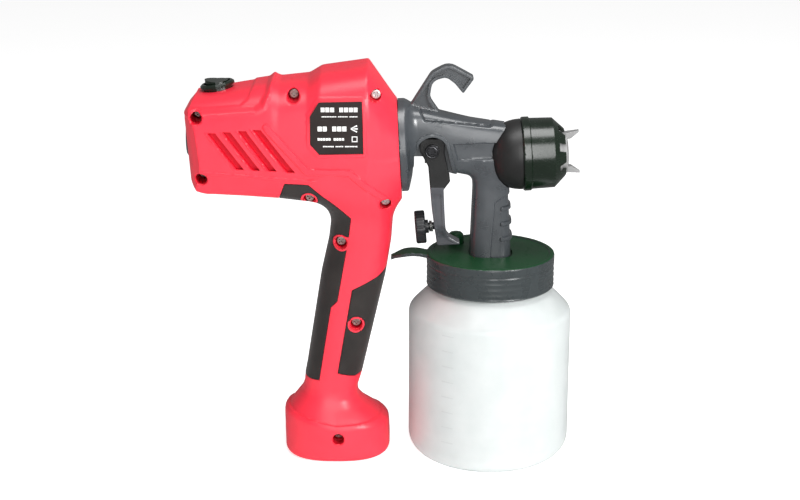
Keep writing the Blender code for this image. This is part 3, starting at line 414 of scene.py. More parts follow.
def moulded_plastic(name, colour, roughness, grain, depth, spread=0.12, patches=9.0, shine=0.5):
    """Satin moulded plastic: fine spark-eroded grain, slow colour and gloss changes, and faint scuffs."""
    n = Nodes(name, colour, roughness)
    slow = n.noise(patches, 3)
    fine = n.noise(grain, 2)
    scuffs = n.noise(3.0, 4, stretch=(1.0, 0.3, 4.0))
    tone = n.math("ADD", n.math("MULTIPLY", slow, 0.75), n.math("MULTIPLY", fine, 0.25))
    dark, light = shade_of(colour, 1 - spread), shade_of(colour, 1 + spread)
    colours = n.mix(n.span(tone, 0.3, 0.7, 0.0, 1.0), dark, light)
    gloss = n.span(slow, 0.3, 0.7, roughness - 0.03, roughness + 0.03)
    gloss = n.math("ADD", gloss, n.span(scuffs, 0.58, 0.72, 0.0, 0.08))
    set_inputs(n.shader, Specular_IOR_Level=shine)
    return n.finish(colours, gloss, n.bump(fine, depth))


def make_red():
    material = moulded_plastic("red_casing", (0.83, 0.028, 0.055), 0.36, 0.45, 0.010, 0.05, 14.0)
    shader = material.node_tree.nodes["Principled BSDF"]
    set_inputs(shader, Subsurface_Weight=0.08, Subsurface_Radius=(0.002, 0.0006, 0.0006),
               Subsurface_Scale=0.6)
    return material


def make_metal(name, colour, roughness, metallic=1.0):
    """Machined metal: fine lines of turning round its surface."""
    n = Nodes(name, colour, roughness, metallic)
    grain = n.noise(0.25, 3, stretch=(1.0, 1.0, 0.06))
    slow = n.noise(4.0, 3)
    gloss = n.span(grain, 0.3, 0.7, roughness - 0.07, roughness + 0.09)
    gloss = n.math("ADD", gloss, n.span(slow, 0.4, 0.7, 0.0, 0.06))
    tint = n.mix(n.span(slow, 0.35, 0.7, 0.0, 1.0), colour, shade_of(colour, 0.84))
    return n.finish(tint, gloss, n.bump(grain, 0.006))


def make_wound():
    """Enamelled copper wire in layers over dark steel; the valleys between the turns are painted darker, as
    painted shade.
    """
    n = Nodes("wound_copper", (0.60, 0.24, 0.10), 0.32, 0.9)
    _, y, z = n.xyz()
    turns = n.math("SINE", n.math("MULTIPLY", n.math("ADD", y, n.math("MULTIPLY", z, 0.6)), 9.0))
    height = n.span(turns, -1, 1, 0.0, 1.0)
    # Darker in the valleys between the turns: painted shade.
    colours = n.mix(height, (0.28, 0.09, 0.03), (0.68, 0.30, 0.13))
    return n.finish(colours, n.span(n.noise(2.0), 0.3, 0.7, 0.26, 0.42), n.bump(height, 0.12))


def make_foam():
    n = Nodes("filter_foam", (0.04, 0.04, 0.042), 0.95)
    cells = n.tree.nodes.new("ShaderNodeTexVoronoi")
    set_inputs(cells, Scale=1.3)
    n.link(n.place, cells.inputs["Vector"])
    height = n.span(cells.outputs["Distance"], 0.0, 0.5, 0.0, 1.0)
    # The pits of the cells are painted darker than their rims: painted shade.
    colours = n.mix(height, (0.008, 0.008, 0.009), (0.075, 0.075, 0.08))
    return n.finish(colours, n.span(height, 0, 1, 0.8, 0.98), n.bump(height, 0.35))


def make_grip():
    """Soft-touch rubber with a fine matte grain."""
    n = Nodes("soft_grip", (0.015, 0.0115, 0.010), 0.66)
    fine, slow = n.noise(0.28, 3, rough=0.65), n.noise(12.0, 3)
    colours = n.mix(n.span(slow, 0.3, 0.7, 0.0, 1.0), (0.011, 0.008, 0.007), (0.019, 0.015, 0.013))
    gloss = n.math("ADD", n.span(fine, 0.3, 0.7, 0.58, 0.72), n.span(slow, 0.4, 0.75, 0.0, 0.06))
    set_inputs(n.shader, Sheen_Weight=0.12, Sheen_Roughness=0.5)
    return n.finish(colours, gloss, n.bump(fine, 0.035))


def make_bottle_plastic():
    """Milky blow-moulded plastic, with a raised scale and a flash line in its surface."""
    n = Nodes("milky_bottle", (0.86, 0.87, 0.86), 0.30)
    x, y, z = n.xyz()
    slow = n.noise(16.0, 3)
    near = n.math("LESS_THAN", y, -30.0)
    steps = n.math("PINGPONG", n.math("SUBTRACT", z, 21.0), 5.0)
    band = n.math("LESS_THAN", steps, 0.32)
    inside = n.math("MULTIPLY", n.math("GREATER_THAN", z, 20.0), n.math("LESS_THAN", z, 92.0))
    short = n.math("MULTIPLY", n.math("GREATER_THAN", x, -31.0), n.math("LESS_THAN", x, -24.0))
    ticks = n.math("MULTIPLY", n.math("MULTIPLY", band, inside), n.math("MULTIPLY", short, near))
    flash = n.math("LESS_THAN", n.math("ABSOLUTE", y), 0.25)
    raised = n.math("MAXIMUM", ticks, n.math("MULTIPLY", flash, 0.35))
    colours = n.mix(n.span(slow, 0.3, 0.7, 0.0, 1.0), (0.52, 0.555, 0.55), (0.57, 0.60, 0.595))
    colours = n.mix(n.math("MULTIPLY", raised, 0.5), colours, (0.44, 0.47, 0.47))
    set_inputs(n.shader, Subsurface_Weight=0.5, Subsurface_Radius=(0.006, 0.006, 0.006), Subsurface_Scale=1.0)
    return n.finish(colours, n.span(slow, 0.3, 0.7, 0.30, 0.36), n.bump(raised, 0.2))


def make_white_print():
    n = Nodes("label_print", (0.85, 0.85, 0.83), 0.45)
    worn = n.noise(0.5, 3)
    colours = n.mix(n.span(worn, 0.35, 0.6, 0.0, 1.0), (0.70, 0.70, 0.69), (0.90, 0.90, 0.88))
    return n.finish(colours, n.span(worn, 0.3, 0.7, 0.4, 0.5), n.bump(worn, 0.004))


RED = make_red()
# A darker red for the floors of the slots and screw wells: painted shade.
RED_RECESS_SHADE = moulded_plastic("red_recess_shade", (0.60, 0.004, 0.020), 0.55, 0.45, 0.010, 0.05, 14.0, 0.2)
GRIP = make_grip()
BLACK = moulded_plastic("black_casing", (0.046, 0.052, 0.058), 0.29, 0.4, 0.003, shine=1.0)
TRIGGER_GREY = moulded_plastic("trigger_plastic", (0.060, 0.063, 0.072), 0.30, 0.4, 0.004, shine=0.9)
DOME = moulded_plastic("dome_plastic", (0.011, 0.011, 0.011), 0.40, 0.35, 0.010)
HORN = moulded_plastic("horn_plastic", (0.24, 0.24, 0.24), 0.26, 0.8, 0.008, spread=0.10)
# The gloss black's slight green tint is a painted reflection of green surroundings.
GLOSS = moulded_plastic("gloss_black", (0.003, 0.009, 0.004), 0.22, 1.2, 0.004, shine=0.8)
KNOB_BLACK = moulded_plastic("knob_plastic", (0.012, 0.013, 0.015), 0.30, 0.5, 0.010)
# A dark green tint for the lid's top and vent: a painted reflection of green surroundings.
LID_GREEN_REFLECTION = moulded_plastic("lid_green_reflection", (0.004, 0.044, 0.013), 0.42, 0.5, 0.006, spread=0.10, shine=0.3)
LID = moulded_plastic("grey_lid", (0.034, 0.041, 0.043), 0.28, 0.5, 0.012, spread=0.10)
BOTTLE = make_bottle_plastic()
RUBBER = moulded_plastic("rubber", (0.018, 0.018, 0.018), 0.80, 0.3, 0.03, spread=0.15)
STEEL = make_metal("steel", (0.62, 0.62, 0.61), 0.28)
# Lighter and darker copies of the screws' steel: painted light and painted shade.
STEEL_PAINTED_SHADE = make_metal("steel_painted_shade", (0.52, 0.46, 0.43), 0.40, 0.65)
STEEL_PAINTED_LIGHT = make_metal("steel_painted_light", (0.78, 0.76, 0.75), 0.34, 0.7)
BLACK_STEEL = make_metal("black_steel", (0.07, 0.07, 0.075), 0.36)
BRASS = make_metal("brass", (0.72, 0.52, 0.22), 0.27)
CARBON = moulded_plastic("carbon", (0.035, 0.035, 0.037), 0.58, 0.2, 0.02, spread=0.2)
COPPER = make_wound()
FOAM = make_foam()
NATURAL = moulded_plastic("natural_plastic", (0.78, 0.77, 0.72), 0.38, 0.6, 0.008, spread=0.05)
LABEL = moulded_plastic("label", (0.016, 0.010, 0.009), 0.34, 0.25, 0.006, spread=0.08)
PRINT = make_white_print()

FINISHES = {
    "red_casing": RED, "soft_grip": GRIP, "black_casing": BLACK, "gloss_black": GLOSS, "grey_lid": LID,
    "milky_bottle": BOTTLE, "rubber": RUBBER, "steel": STEEL, "brass": BRASS, "wound_copper": COPPER,
    "filter_foam": FOAM, "label": LABEL, "natural_plastic": NATURAL, "carbon": CARBON,
}


def place(obj, body, slot, material, *nodes):
    """Gives a piece its material and its body, and hides the CAD nodes that it stands for; its slot argument
    is not used.
    """
    obj.data.materials.clear()
    obj.data.materials.append(material)
    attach(obj, body)
    if nodes:
        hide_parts(*nodes)
    return obj


def repaint_nodes():
    """Every carried-over CAD node gets the finish of its slot."""
    slots = {}
    for entry in frame["record"]["materials"]:
        for node in entry.get("nodes", []):
            slots[node] = entry["slot"]
    for name, obj in frame["nodes"].items():
        for slot in obj.material_slots:
            key = slots.get(name) or (slot.material.name.split(".")[0] if slot.material else None)
            if key in FINISHES:
                slot.material = FINISHES[key]


# ---------------------------------------------------------------- camera, light and floor

def make_stage():
    scene = bpy.context.scene
    scene.view_settings.view_transform = "Standard"
    elevation = radians(17.0)
    back = Vector((0.0, -cos(elevation), sin(elevation)))
    camera = linked("camera", bpy.data.cameras.new("camera"))
    camera.data.lens, camera.data.sensor_width = 79.11, 36.0
    camera.data.clip_start, camera.data.clip_end = 0.01, 50.0
    camera.location = Vector((-0.0566, 0.0, 0.133)) + back * 1.10
    camera.rotation_mode = "QUATERNION"
    camera.rotation_quaternion = (-back).to_track_quat("-Z", "Y")
    scene.camera = camera

    world = bpy.data.worlds.new("studio")
    world.use_nodes = True
    background = world.node_tree.nodes["Background"]
    set_inputs(background, Color=(1.0, 1.0, 1.0, 1), Strength=0.22)
    tree = world.node_tree
    seen = tree.nodes.new("ShaderNodeBackground")  # the white backdrop, which lights nothing
    path, either = tree.nodes.new("ShaderNodeLightPath"), tree.nodes.new("ShaderNodeMixShader")
    tree.links.new(path.outputs["Is Camera Ray"], either.inputs[0])
    tree.links.new(background.outputs[0], either.inputs[1])
    tree.links.new(seen.outputs[0], either.inputs[2])
    tree.links.new(either.outputs[0], tree.nodes["World Output"].inputs["Surface"])
    set_inputs(seen, Color=(1.0, 1.0, 1.0, 1))
    scene.world = world

    def area(name, position, target, size, power):
        light = bpy.data.lights.new(name, "AREA")
        light.shape = "RECTANGLE"
        light.size, light.size_y = size
        light.energy = power
        obj = linked(name, light)
        obj.location = position
        obj.rotation_mode = "QUATERNION"
        obj.rotation_quaternion = (Vector(target) - Vector(position)).to_track_quat("-Z", "Y")

    area("key", (0.62, -0.80, 0.62), (-0.06, 0, 0.13), (0.30, 0.40), 9.0)
    area("strip", (0.10, -1.50, 0.70), (-0.03, 0, 0.14), (0.35, 1.30), 9.0)
    area("top", (0.02, -0.16, 1.1), (-0.06, 0, 0.14), (0.9, 0.45), 7.0)

    half = 6.0
    mesh = bpy.data.meshes.new("floor")
    corners = [(-half, -half, 0), (half, -half, 0), (half, half, 0), (-half, half, 0)]
    mesh.from_pydata(corners, [], [(0, 1, 2, 3)])
    floor = linked("floor", mesh)
    n = Nodes("floor", (0.93, 0.93, 0.93), 0.6)
    slow = n.noise(220.0, 2)
    set_inputs(n.shader, Emission_Color=(1.0, 1.0, 1.0, 1), Emission_Strength=0.69)
    shades = n.mix(slow, (0.92, 0.92, 0.92), (0.945, 0.945, 0.945))
    mesh.materials.append(n.finish(shades, n.span(slow, 0, 1, 0.55, 0.65)))
    floor.visible_glossy = False  # its glow stays out of the plastic's sheen


make_stage()

# ---------------------------------------------------------------- frames of the object

TILT = radians(3.0)
COLLAR_AT = np.array((-57.0, 0.0, 200.0))
NOZZLE_AT = np.array((20.0, 0.0, 195.0))
KNOB_AT = np.array((-43.9, 0.0, 148.1))
KNOB_TILT = radians(5.0)
SWITCH_AT = np.array((-167.5, 0.0, 237.6))
SWITCH_SLOPE = radians(10.3)
MOTOR_HEIGHT = 206.0
PIVOT_X, PIVOT_Z, PIVOT_BORE = -37.0, 199.3, 2.7


def forward_frame(at, tilt):
    return moved(*at) @ Matrix.Rotation(pi / 2 - tilt, 4, "Y")


NOZZLE = forward_frame(NOZZLE_AT, TILT)
KNOB = forward_frame(KNOB_AT, KNOB_TILT)


def about(p, at, tilt):
    """Distance along and out from an axis that leans by tilt from +X, and the height above it."""
    dx, dz = p[:, 0] - at[0], p[:, 2] - at[2]
    along = dx * cos(tilt) + dz * sin(tilt)
    up = dz * cos(tilt) - dx * sin(tilt)
    return along, np.hypot(p[:, 1], up), up


def on_nozzle(along, up=0.0):
    c, s = cos(TILT), sin(TILT)
    return NOZZLE_AT + np.array((along * c - up * s, 0.0, along * s + up * c))


# ---------------------------------------------------------------- blower casing and its grips

BARREL = stations([
    (-190.0, 172.5, 235.2, 34.0, 3.0),
    (-170.0, 172.5, 238.0, 34.6, 3.0),
    (-150.0, 171.4, 241.4, 35.2, 3.0),
    (-136.0, 170.4, 243.6, 35.8, 3.0),
    (-132.5, 170.2, 243.4, 36.0, 3.0),
    (-129.5, 170.0, 242.2, 36.0, 3.0),
    (-112.0, 168.0, 244.0, 36.4, 3.1),
    (-104.5, 166.8, 248.4, 36.8, 3.3),
    (-76.0, 165.0, 252.4, 37.0, 3.4),
    (-68.0, 167.0, 243.0, 34.0, 2.7),
    (-57.0, 171.4, 229.0, 28.9, 2.1),
], 0.8)
HANDLE = stations([
    (0.0, -130.0, -63.4, 27.6, 2.4),
    (12.0, -130.3, -63.2, 28.4, 2.4),
    (23.0, -130.3, -63.8, 28.0, 2.4),
    (28.0, -127.0, -69.4, 25.2, 2.4),
    (33.0, -123.6, -77.4, 22.0, 2.4),
    (38.0, -120.4, -81.8, 19.5, 2.4),
    (44.0, -118.2, -82.6, 18.0, 2.5),
    (54.0, -116.4, -80.6, 17.6, 2.5),
    (120.0, -105.8, -65.4, 18.5, 2.6),
    (142.0, -100.8, -61.9, 20.5, 2.6),
    (160.0, -98.6, -60.6, 22.0, 2.6),
    (190.0, -95.0, -58.8, 23.5, 2.6),
], 1.2)
HANDLE_TOP = 186.0
WALL = 2.5  # the barrel's; the handle's is twice that
THIN = 2.3  # what is left under the grips and the slots
WELL, HOLE = 3.5, 1.8  # radii for a screw's head and its shank
SCREWS = [  # x, z, depth of the head from the middle plane
    (-120.0, 236.5, 18.0), (-71.0, 237.0, 24.0), (-65.5, 169.3, 17.0), (-178.0, 224.0, 14.0),
    (-176.0, 186.5, 14.0), (-111.5, 172.6, 18.0), (-92.8, 143.0, 13.0), (-84.0, 89.5, 11.0),
    (-95.5, 16.5, 18.0),
]
GRIP_SCREWS = (5, 6, 7)  # these come through the grips
REAR_GRIP = [
    (-134.0, 158.0), (-131.0, 170.5), (-126.0, 184.5), (-111.5, 184.0), (-86.3, 160.0), (-88.0, 146.0),
    (-95.3, 105.0), (-99.5, 100.5), (-107.3, 52.0), (-122.0, 52.0), (-122.0, 100.0),
]
FRONT_GRIP = [
    (-56.0, 130.0), (-62.0, 127.0), (-70.5, 120.5), (-86.5, 112.5), (-96.0, 57.0), (-85.0, 54.0),
    (-74.0, 56.0),
]
TAB = [(-95.5, 146.6), (-86.0, 147.4), (-86.0, 140.6), (-95.5, 139.4)]  # red, between boss and strip
LABEL_CORNERS = [
    (-104.5, 203.5), (-78.5, 204.0), (-79.0, 235.5), (-104.5, 235.0), (-109.8, 226.5), (-109.8, 209.5),
]
SWITCH_ZONE = [
    (-200.0, 225.0), (-174.0, 226.2), (-142.5, 228.6), (-138.0, 231.0), (-134.6, 238.0), (-132.4, 252.0),
    (-132.4, 262.0), (-200.0, 262.0),
]
SWITCH_TIER = [
    (-200.0, 228.0), (-172.0, 228.6), (-151.0, 230.6), (-147.0, 234.0), (-144.4, 240.0), (-143.0, 262.0),
    (-200.0, 262.0),
]
SLOTS = [
    ((-171.0, 215.6), (-154.6, 193.6)), ((-162.0, 216.3), (-144.9, 193.2)),
    ((-152.7, 217.0), (-135.0, 192.8)), ((-143.9, 217.8), (-124.2, 192.0)),
]
FACET = [(-136.0, 219.6), (-112.0, 192.6), (-87.0, 192.0), (-66.0, 174.0)]


def leaned(p):
    """x, moved so that the front of the barrel stands square to the gun's axis."""
    share = np.clip((p[:, 0] + 76.0) / 19.0, 0, 1)
    return p[:, 0] + share * (p[:, 2] - 200.0) * tan(TILT)


def casing_body(p):
    """The blower's outer body without its details."""
    x, y, z = p.T
    side = np.abs(y)
    along = leaned(p)
    barrel = section(BARREL, along, y, z)
    # The side turns in towards the rear end, and a flat runs along under it.
    rear = -0.85 * (x + 179.3 - 0.11 * (222.0 - z)) + 0.527 * (side - 34.2)
    barrel = round_max(barrel, rear, 0.5)
    under = 0.84 * (side - 33.6 - 0.021 * (x + 173)) - 0.54 * (z - 191.0 + 0.073 * (x + 173))
    barrel = round_max(barrel, under - 3.0 * ramp(x, -118.0, -96.0), 0.5)
    barrel = round_max(barrel, -(x + 186.7) - 0.06 * (z - 222.0), 5.0)
    barrel = round_max(barrel, -0.62 * (x + 183.5) - 0.785 * (z - 179.5), 2.5)
    barrel = round_max(barrel, -0.918 * (x + 187.8) + 0.393 * (z - 223.0), 2.5)
    barrel = round_max(barrel, 0.45 * (along + 73.0) + 0.893 * (side - 36.5), 0.3)
    foot_rise = most(0.0, -97.0 - x) * 0.2 * np.clip((60.0 - z) / 20.0, 0, 1)
    handle = section(HANDLE, z - foot_rise, y, x)
    handle = round_max(handle, -z, 5.0)
    handle = most(handle, z - HANDLE_TOP)
    body = round_min(barrel, handle, 15.0)
    return round_max(body, along + 57.0, 0.8)


def slot_depth(x, z):
    """The four slanted blind slots, each with a thin raised lip along its lower left edge."""
    depth = np.zeros_like(x)
    for (ax, az), (bx, bz) in SLOTS:
        ex, ez = (bx - ax), (bz - az)
        length = hypot(ex, ez)
        across = ((x - ax) * -ez + (z - az) * ex) / length  # from the lower left edge, upwards and forwards
        ends = ramp(z, bz - 0.3, bz + 0.3) * ramp(-z, -az - 0.3, -az + 0.3)
        depth = depth + 2.4 * ends * ramp(across, -0.2, 0.3) * ramp(-across, -4.0, -3.6)
        depth = depth - 0.5 * ends * ramp(-np.abs(across + 0.8), -0.7, -0.2)
    return depth


def casing_relief(x, z):
    """How far the casing's side lies below its plain surface."""
    zone = -outline(x, z, SWITCH_ZONE)
    depth = 1.7 * ramp(zone, 0.0, 3.0) - 0.6 * np.exp(-((zone + 0.6) / 1.1) ** 2)
    depth = depth + 0.8 * ramp(-outline(x, z, SWITCH_TIER), 0.0, 1.4)
    depth = depth + slot_depth(x, z)
    crease = np.abs(z - 191.2 + 0.073 * (x + 173))
    depth = depth - 0.7 * ramp(-crease, -1.1, -0.3) * ramp(x, -177.0, -174.0) * ramp(-x, 104.0, 110.0)
    line = track(x, z, FACET)
    depth = depth - 1.0 * ramp(-line, -2.1, -1.6)
    ledge = np.interp(x, [-131, -115, -97, -75, -62], [33.0, 28.5, 24.5, 25.5, 27.5])
    depth = depth + 1.3 * ramp(z - ledge, 0.0, 0.7) * ramp(-z, -56.0, -40.0)
    label = outline(x, z, LABEL_CORNERS)
    return depth - 0.4 * ramp(-label, -2.6, -1.8)


def grip_zones(p):
    x, z = p[:, 0], p[:, 2]
    rear = most(outline(x, z, REAR_GRIP), -outline(x, z, TAB))
    return rear, outline(x, z, FRONT_GRIP)


def casing_field(side):
    """One half of the casing: side -1 is the right half, with the screw wells."""
    def field(p):
        x, y, z = p.T
        body = casing_body(p)
        skin = body + casing_relief(x, z)
        rear, front = grip_zones(p)
        zone = least(rear, front)
        in_handle = ramp(-z, -160.0, -150.0)
        wall = WALL + WALL * in_handle
        skin = most(skin, least(-zone, body + THIN))  # the grips' recesses
        shell = most(skin, -most(body + wall, skin + THIN))
        bosses = wells = np.full(x.shape, 1e9)
        for k, (sx, sz, depth) in enumerate(SCREWS):
            out = np.hypot(x - sx, z - sz)
            inset = 1.0 if k not in GRIP_SCREWS else 0.0 if side < 0 else 3.0
            boss = most(out - (5.2 if side < 0 else 4.0), body + inset)
            bosses = least(bosses, boss)
            wells = least(wells, most(out - HOLE, np.abs(y) - depth))
            if side < 0:
                wells = least(wells, most(out - WELL, y + depth - 4.0))
                wells = least(wells, most(out - 4.1 + most(0, -0.5 - skin), y + depth + 1.0))
        shell = least(shell, bosses)
        shell = cut(shell, wells)
        along, out, _ = about(p, COLLAR_AT, TILT)
        shell = cut(shell, most(out - 26.6, -along - 4.1))
        shell = cut(shell, rod(p, (-200, 0, MOTOR_HEIGHT), (-178, 0, MOTOR_HEIGHT), 12.8))
        sx, sz = x - SWITCH_AT[0], z - SWITCH_AT[2]
        c, s = cos(SWITCH_SLOPE), sin(SWITCH_SLOPE)
        height, ahead = sz * c - sx * s, sx * c + sz * s
        reach = np.hypot(ahead, y)
        shell = cut(shell, most(reach - 9.0, np.abs(height) - 8.0), most(reach - 11.2, -height))
        shell = cut(shell, rod(p, (-140, 0, 20), (-120, 0, 20), 6.3))
        if side < 0:
            shell = cut(shell, most(outline(x, z, LABEL_CORNERS) - GAP, y + 36.2))
        return round_max(shell, -side * y + GAP / 2, 0.25)
    return field


def grip_field(side, which):
    def field(p):
        x, y, z = p.T
        body = casing_body(p)
        zone = grip_zones(p)[which]
        pad = round_max(body, zone + GAP, 0.7)
        pad = cut(pad, body + 2.0)
        if side < 0:
            for k in GRIP_SCREWS:
                sx, sz, _ = SCREWS[k]
                pad = most(pad, 5.5 - np.hypot(x - sx, z - sz))
        return round_max(pad, -side * y + GAP / 2, 0.25)
    return field


def recesses(mesh):
    """The floors of the blind slots and of the screw wells, where the red is painted darker as painted shade.
    """
    p = per_face(mesh, "center").astype(float) / MM
    body = casing_body(p)
    deep = slot_depth(p[:, 0], p[:, 2]) > 0.9
    for sx, sz, _ in SCREWS:
        deep |= (np.hypot(p[:, 0] - sx, p[:, 2] - sz) < WELL + 0.25) & (body < -1.0)
    return deep & (body > -8.0)


def make_power_unit():
    for side, name in ((-1, "right"), (1, "left")):
        low, high = (-38.5, 0.4) if side < 0 else (-0.4, 38.5)
        start, stop = (-189, low, -0.5), (-54, high, 255)
        casing = moulded(f"casing_{name}_shell", casing_field(side), start, stop, 0.85)
        place(casing, "power_unit", "red_casing", RED, f"casing_{name}")
        # The slot and well floors get the darker red, painted shade.
        repaint(casing.data, RED_RECESS_SHADE, recesses(casing.data))
        ends = (("rear", (-134, low, 50), (-84, high, 184)), ("front", (-98, low, 52), (-58, high, 132)))
        for which, (end, start, stop) in enumerate(ends):
            pad = moulded(f"{end}_grip_{name}_pad", grip_field(side, which), start, stop, 0.8)
            place(pad, "power_unit", "soft_grip", GRIP, f"{end}_grip_{name}")


def screw_surface(length):
    """A pan head screw, its head's top at the origin and its shank along -Z."""
    head, rise, shank = 2.8, 2.2, 1.3

    def field(p):
        x, y, z = p.T
        out = np.hypot(x, y)
        cap = round_max(out - head, most(z, -rise - z), 0.6)
        core = most(out - shank, z + 0.5, -length - z)
        thread = 0.22 * np.cos(2 * pi * z / 1.2 + np.arctan2(y, x))
        body = least(cap, core - thread * (z < -rise - 1.0))
        # crossed slots, narrowing downwards
        wide, narrow = 1.75 - 0.25 * np.clip(-z, 0, 2), 0.55
        across, along = np.abs(x), np.abs(y)
        cross = least(most(across - narrow, along - wide), most(along - narrow, across - wide))
        return cut(body, most(cross, -1.5 - z))

    reach = head + 0.4
    return surface(field, (-reach, -reach, -length - 0.3), (reach, reach, 0.3), 0.3 * FINE)


def make_screws():
    shared = {}
    for k, (x, z, depth) in enumerate(SCREWS):
        higher_and_painted_lit = k in (1, 2)  # these two stand higher in their wells and get a lighter steel as painted light; the deeper screws get a darker steel as painted shade
        length, name = depth + 9.0, f"case_screw_{k + 1}"
        if length not in shared:
            shared[length] = screw_surface(length)
        obj = mesh_object(f"{name}_detail", *shared[length], 35)
        at = moved(x, (1.3 if higher_and_painted_lit else 0.0) - depth, z)
        obj.data.transform(at @ Matrix.Rotation(pi / 2, 4, "X") @ Matrix.Rotation(0.9 * k, 4, "Z"))
        place(obj, "power_unit", "steel", STEEL_PAINTED_LIGHT if higher_and_painted_lit else STEEL_PAINTED_SHADE, name)


def make_pivot():
    matrix = moved(PIVOT_X, -13.2, PIVOT_Z) @ Matrix.Rotation(pi / 2, 4, "X")

    def field(p):
        x, y, z = p.T
        out = np.hypot(x, y)
        cap = round_max(out - 4.4, most(z, -1.9 - z), 0.5)
        core = most(out - 2.4, z + 0.5, -25.8 - z)
        flats = most(np.abs(0.5 * x + 0.866 * y), np.abs(0.5 * x - 0.866 * y))
        nut = most(np.abs(x), flats) - 3.9
        nut = round_max(nut, most(-26.4 - z, z + 24.5), 0.3)
        recess = out - (1.9 + 0.3 * np.cos(6 * np.arctan2(y, x)))
        ring = np.abs(out - 3.3) - 0.22
        body = least(cap, core, nut)
        body = cut(body, most(ring, -0.25 - z))
        return cut(body, most(recess, -1.4 - z))
    points, faces = surface(field, (-5, -5, -26.8), (5, 5, 0.4), 0.3 * FINE)
    obj = mesh_object("pivot_screw_detail", points, faces, 35)
    obj.data.transform(matrix)
    place(obj, "gun", "steel", BLACK_STEEL, "pivot_screw")


def make_gland():
    """The cord's rubber grommet, flush in its bore at the back of the foot."""
    matrix = moved(-129.9, 0.0, 20.0) @ Matrix.Rotation(pi / 2, 4, "Y")
    profile = [(0.4, 5.4), (0.0, 5.0), (0.0, 3.3), (0.5, 2.6), (9.4, 2.6), (9.4, 5.9), (0.9, 5.9)]
    gland = turned("cord_gland_grommet", profile, matrix, 48)
    place(gland, "power_unit", "rubber", RUBBER, "cord_gland")


def make_label():
    """The rating plate, with bars and a spray fan in place of print."""
    bm = bmesh.new()
    rear, plate, under, over = -36.5, -37.1, -37.09, -37.13  # along Y: the plate and the print on it
    back = [bm.verts.new((x * MM, rear * MM, z * MM)) for x, z in LABEL_CORNERS]
    front = [bm.verts.new((x * MM, plate * MM, z * MM)) for x, z in LABEL_CORNERS]
    bm.faces.new(back)
    face = bm.faces.new(front[::-1])
    for i in range(len(back)):
        j = (i + 1) % len(back)
        bm.faces.new((back[i], front[i], front[j], back[j]))
    bmesh.ops.recalc_face_normals(bm, faces=bm.faces)
    bmesh.ops.bevel(bm, geom=list(face.edges), offset=0.18 * MM, segments=2, affect="EDGES")

    def printed(corners):
        """A printed shape of four corners, a hair above the plate."""
        low, high = ([bm.verts.new((x * MM, y * MM, z * MM)) for x, z in corners] for y in (under, over))
        faces = [bm.faces.new(high), bm.faces.new(low[::-1])]
        faces += [bm.faces.new((low[i], low[(i + 1) % 4], high[(i + 1) % 4], high[i])) for i in range(4)]
        for f in faces:
            f.material_index = 1

    def bar(x0, x1, z0, z1):
        printed([(x0, z0), (x1, z0), (x1, z1), (x0, z1)])

    def fan(x, z, size):
        """A plain fan of spray: three strokes from a point."""
        for angle in (-0.42, 0.0, 0.42):
            c, s = cos(angle), sin(angle)
            stroke = [(0.6, -0.12), (size, -0.42), (size, 0.42), (0.6, 0.12)]
            printed([(x + u * c - v * s, z + u * s + v * c) for u, v in stroke])

    def line_of_print(x0, x1, z0, z1, words):
        """A line of plain blocks in place of words; each word is given by its number of blocks."""
        widths = sum(words) + 0.9 * (len(words) - 1)
        unit, at = (x1 - x0) / widths, x0
        for count in words:
            for _ in range(count):
                bar(at + 0.1 * unit, at + 0.9 * unit, z0, z1)
                at += unit
            at += 0.9 * unit

    line_of_print(-103.6, -81.4, 229.3, 232.0, (3, 4))
    line_of_print(-103.0, -81.6, 226.2, 226.8, (9, 6, 5))
    line_of_print(-105.6, -88.0, 217.7, 220.6, (2, 3))
    fan(-86.2, 219.2, 4.6)
    line_of_print(-105.6, -89.6, 212.1, 213.6, (5, 4))
    for z in (211.2, 214.1):  # a plain square
        bar(-85.2, -81.8, z, z + 0.5)
    for x in (-85.2, -82.3):
        bar(x, x + 0.5, 211.8, 214.0)
    line_of_print(-102.4, -81.8, 208.1, 208.8, (7, 5, 8))
    obj = from_bmesh("rating_plate", bm)
    for material in (LABEL, PRINT):
        obj.data.materials.append(material)
    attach(obj, "power_unit")
    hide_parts("rating_label")


# ---------------------------------------------------------------- spray gun

DUCT = stations([
    (-55.0, 186.0, 226.6, 18.0, 2.8), (-50.0, 190.0, 226.2, 16.5, 3.0), (-46.0, 194.5, 225.5, 15.5, 3.2),
    (-40.0, 194.2, 224.0, 14.8, 3.4), (-25.5, 184.8, 220.5, 13.8, 3.4), (-14.0, 182.5, 217.8, 13.2, 3.4),
    (9.0, 181.0, 214.3, 12.2, 3.4),
], 1.6)
AIR = stations([
    (-72.0, 180.0, 218.5, 19.3, 2.0), (-56.0, 181.0, 219.5, 19.0, 2.0), (-46.0, 199.0, 221.5, 11.2, 2.0),
    (-20.0, 198.8, 216.0, 8.8, 2.0), (0.0, 197.0, 212.6, 8.0, 2.0), (30.0, 194.0, 210.0, 8.0, 2.0),
], 1.0)
PILLAR = stations([
    (130.4, -13.4, 13.4, 12.4, 3.2), (144.0, -12.9, 12.9, 12.0, 3.2), (175.0, -11.8, 10.9, 11.5, 3.2),
    (181.0, -12.4, 11.3, 11.8, 3.2), (190.0, -13.0, 12.0, 12.2, 3.2),
], 1.6)
HOOK = rounded([
    (-51.0, 225.0, 0), (-37.6, 246.2, 9), (-27.0, 251.8, 9), (-11.2, 243.2, 1.6), (-18.2, 233.4, 0.8),
    (-23.2, 239.4, 1.6), (-28.5, 243.6, 5), (-37.0, 241.0, 6), (-38.6, 230.5, 8), (-32.0, 221.0, 0),
])
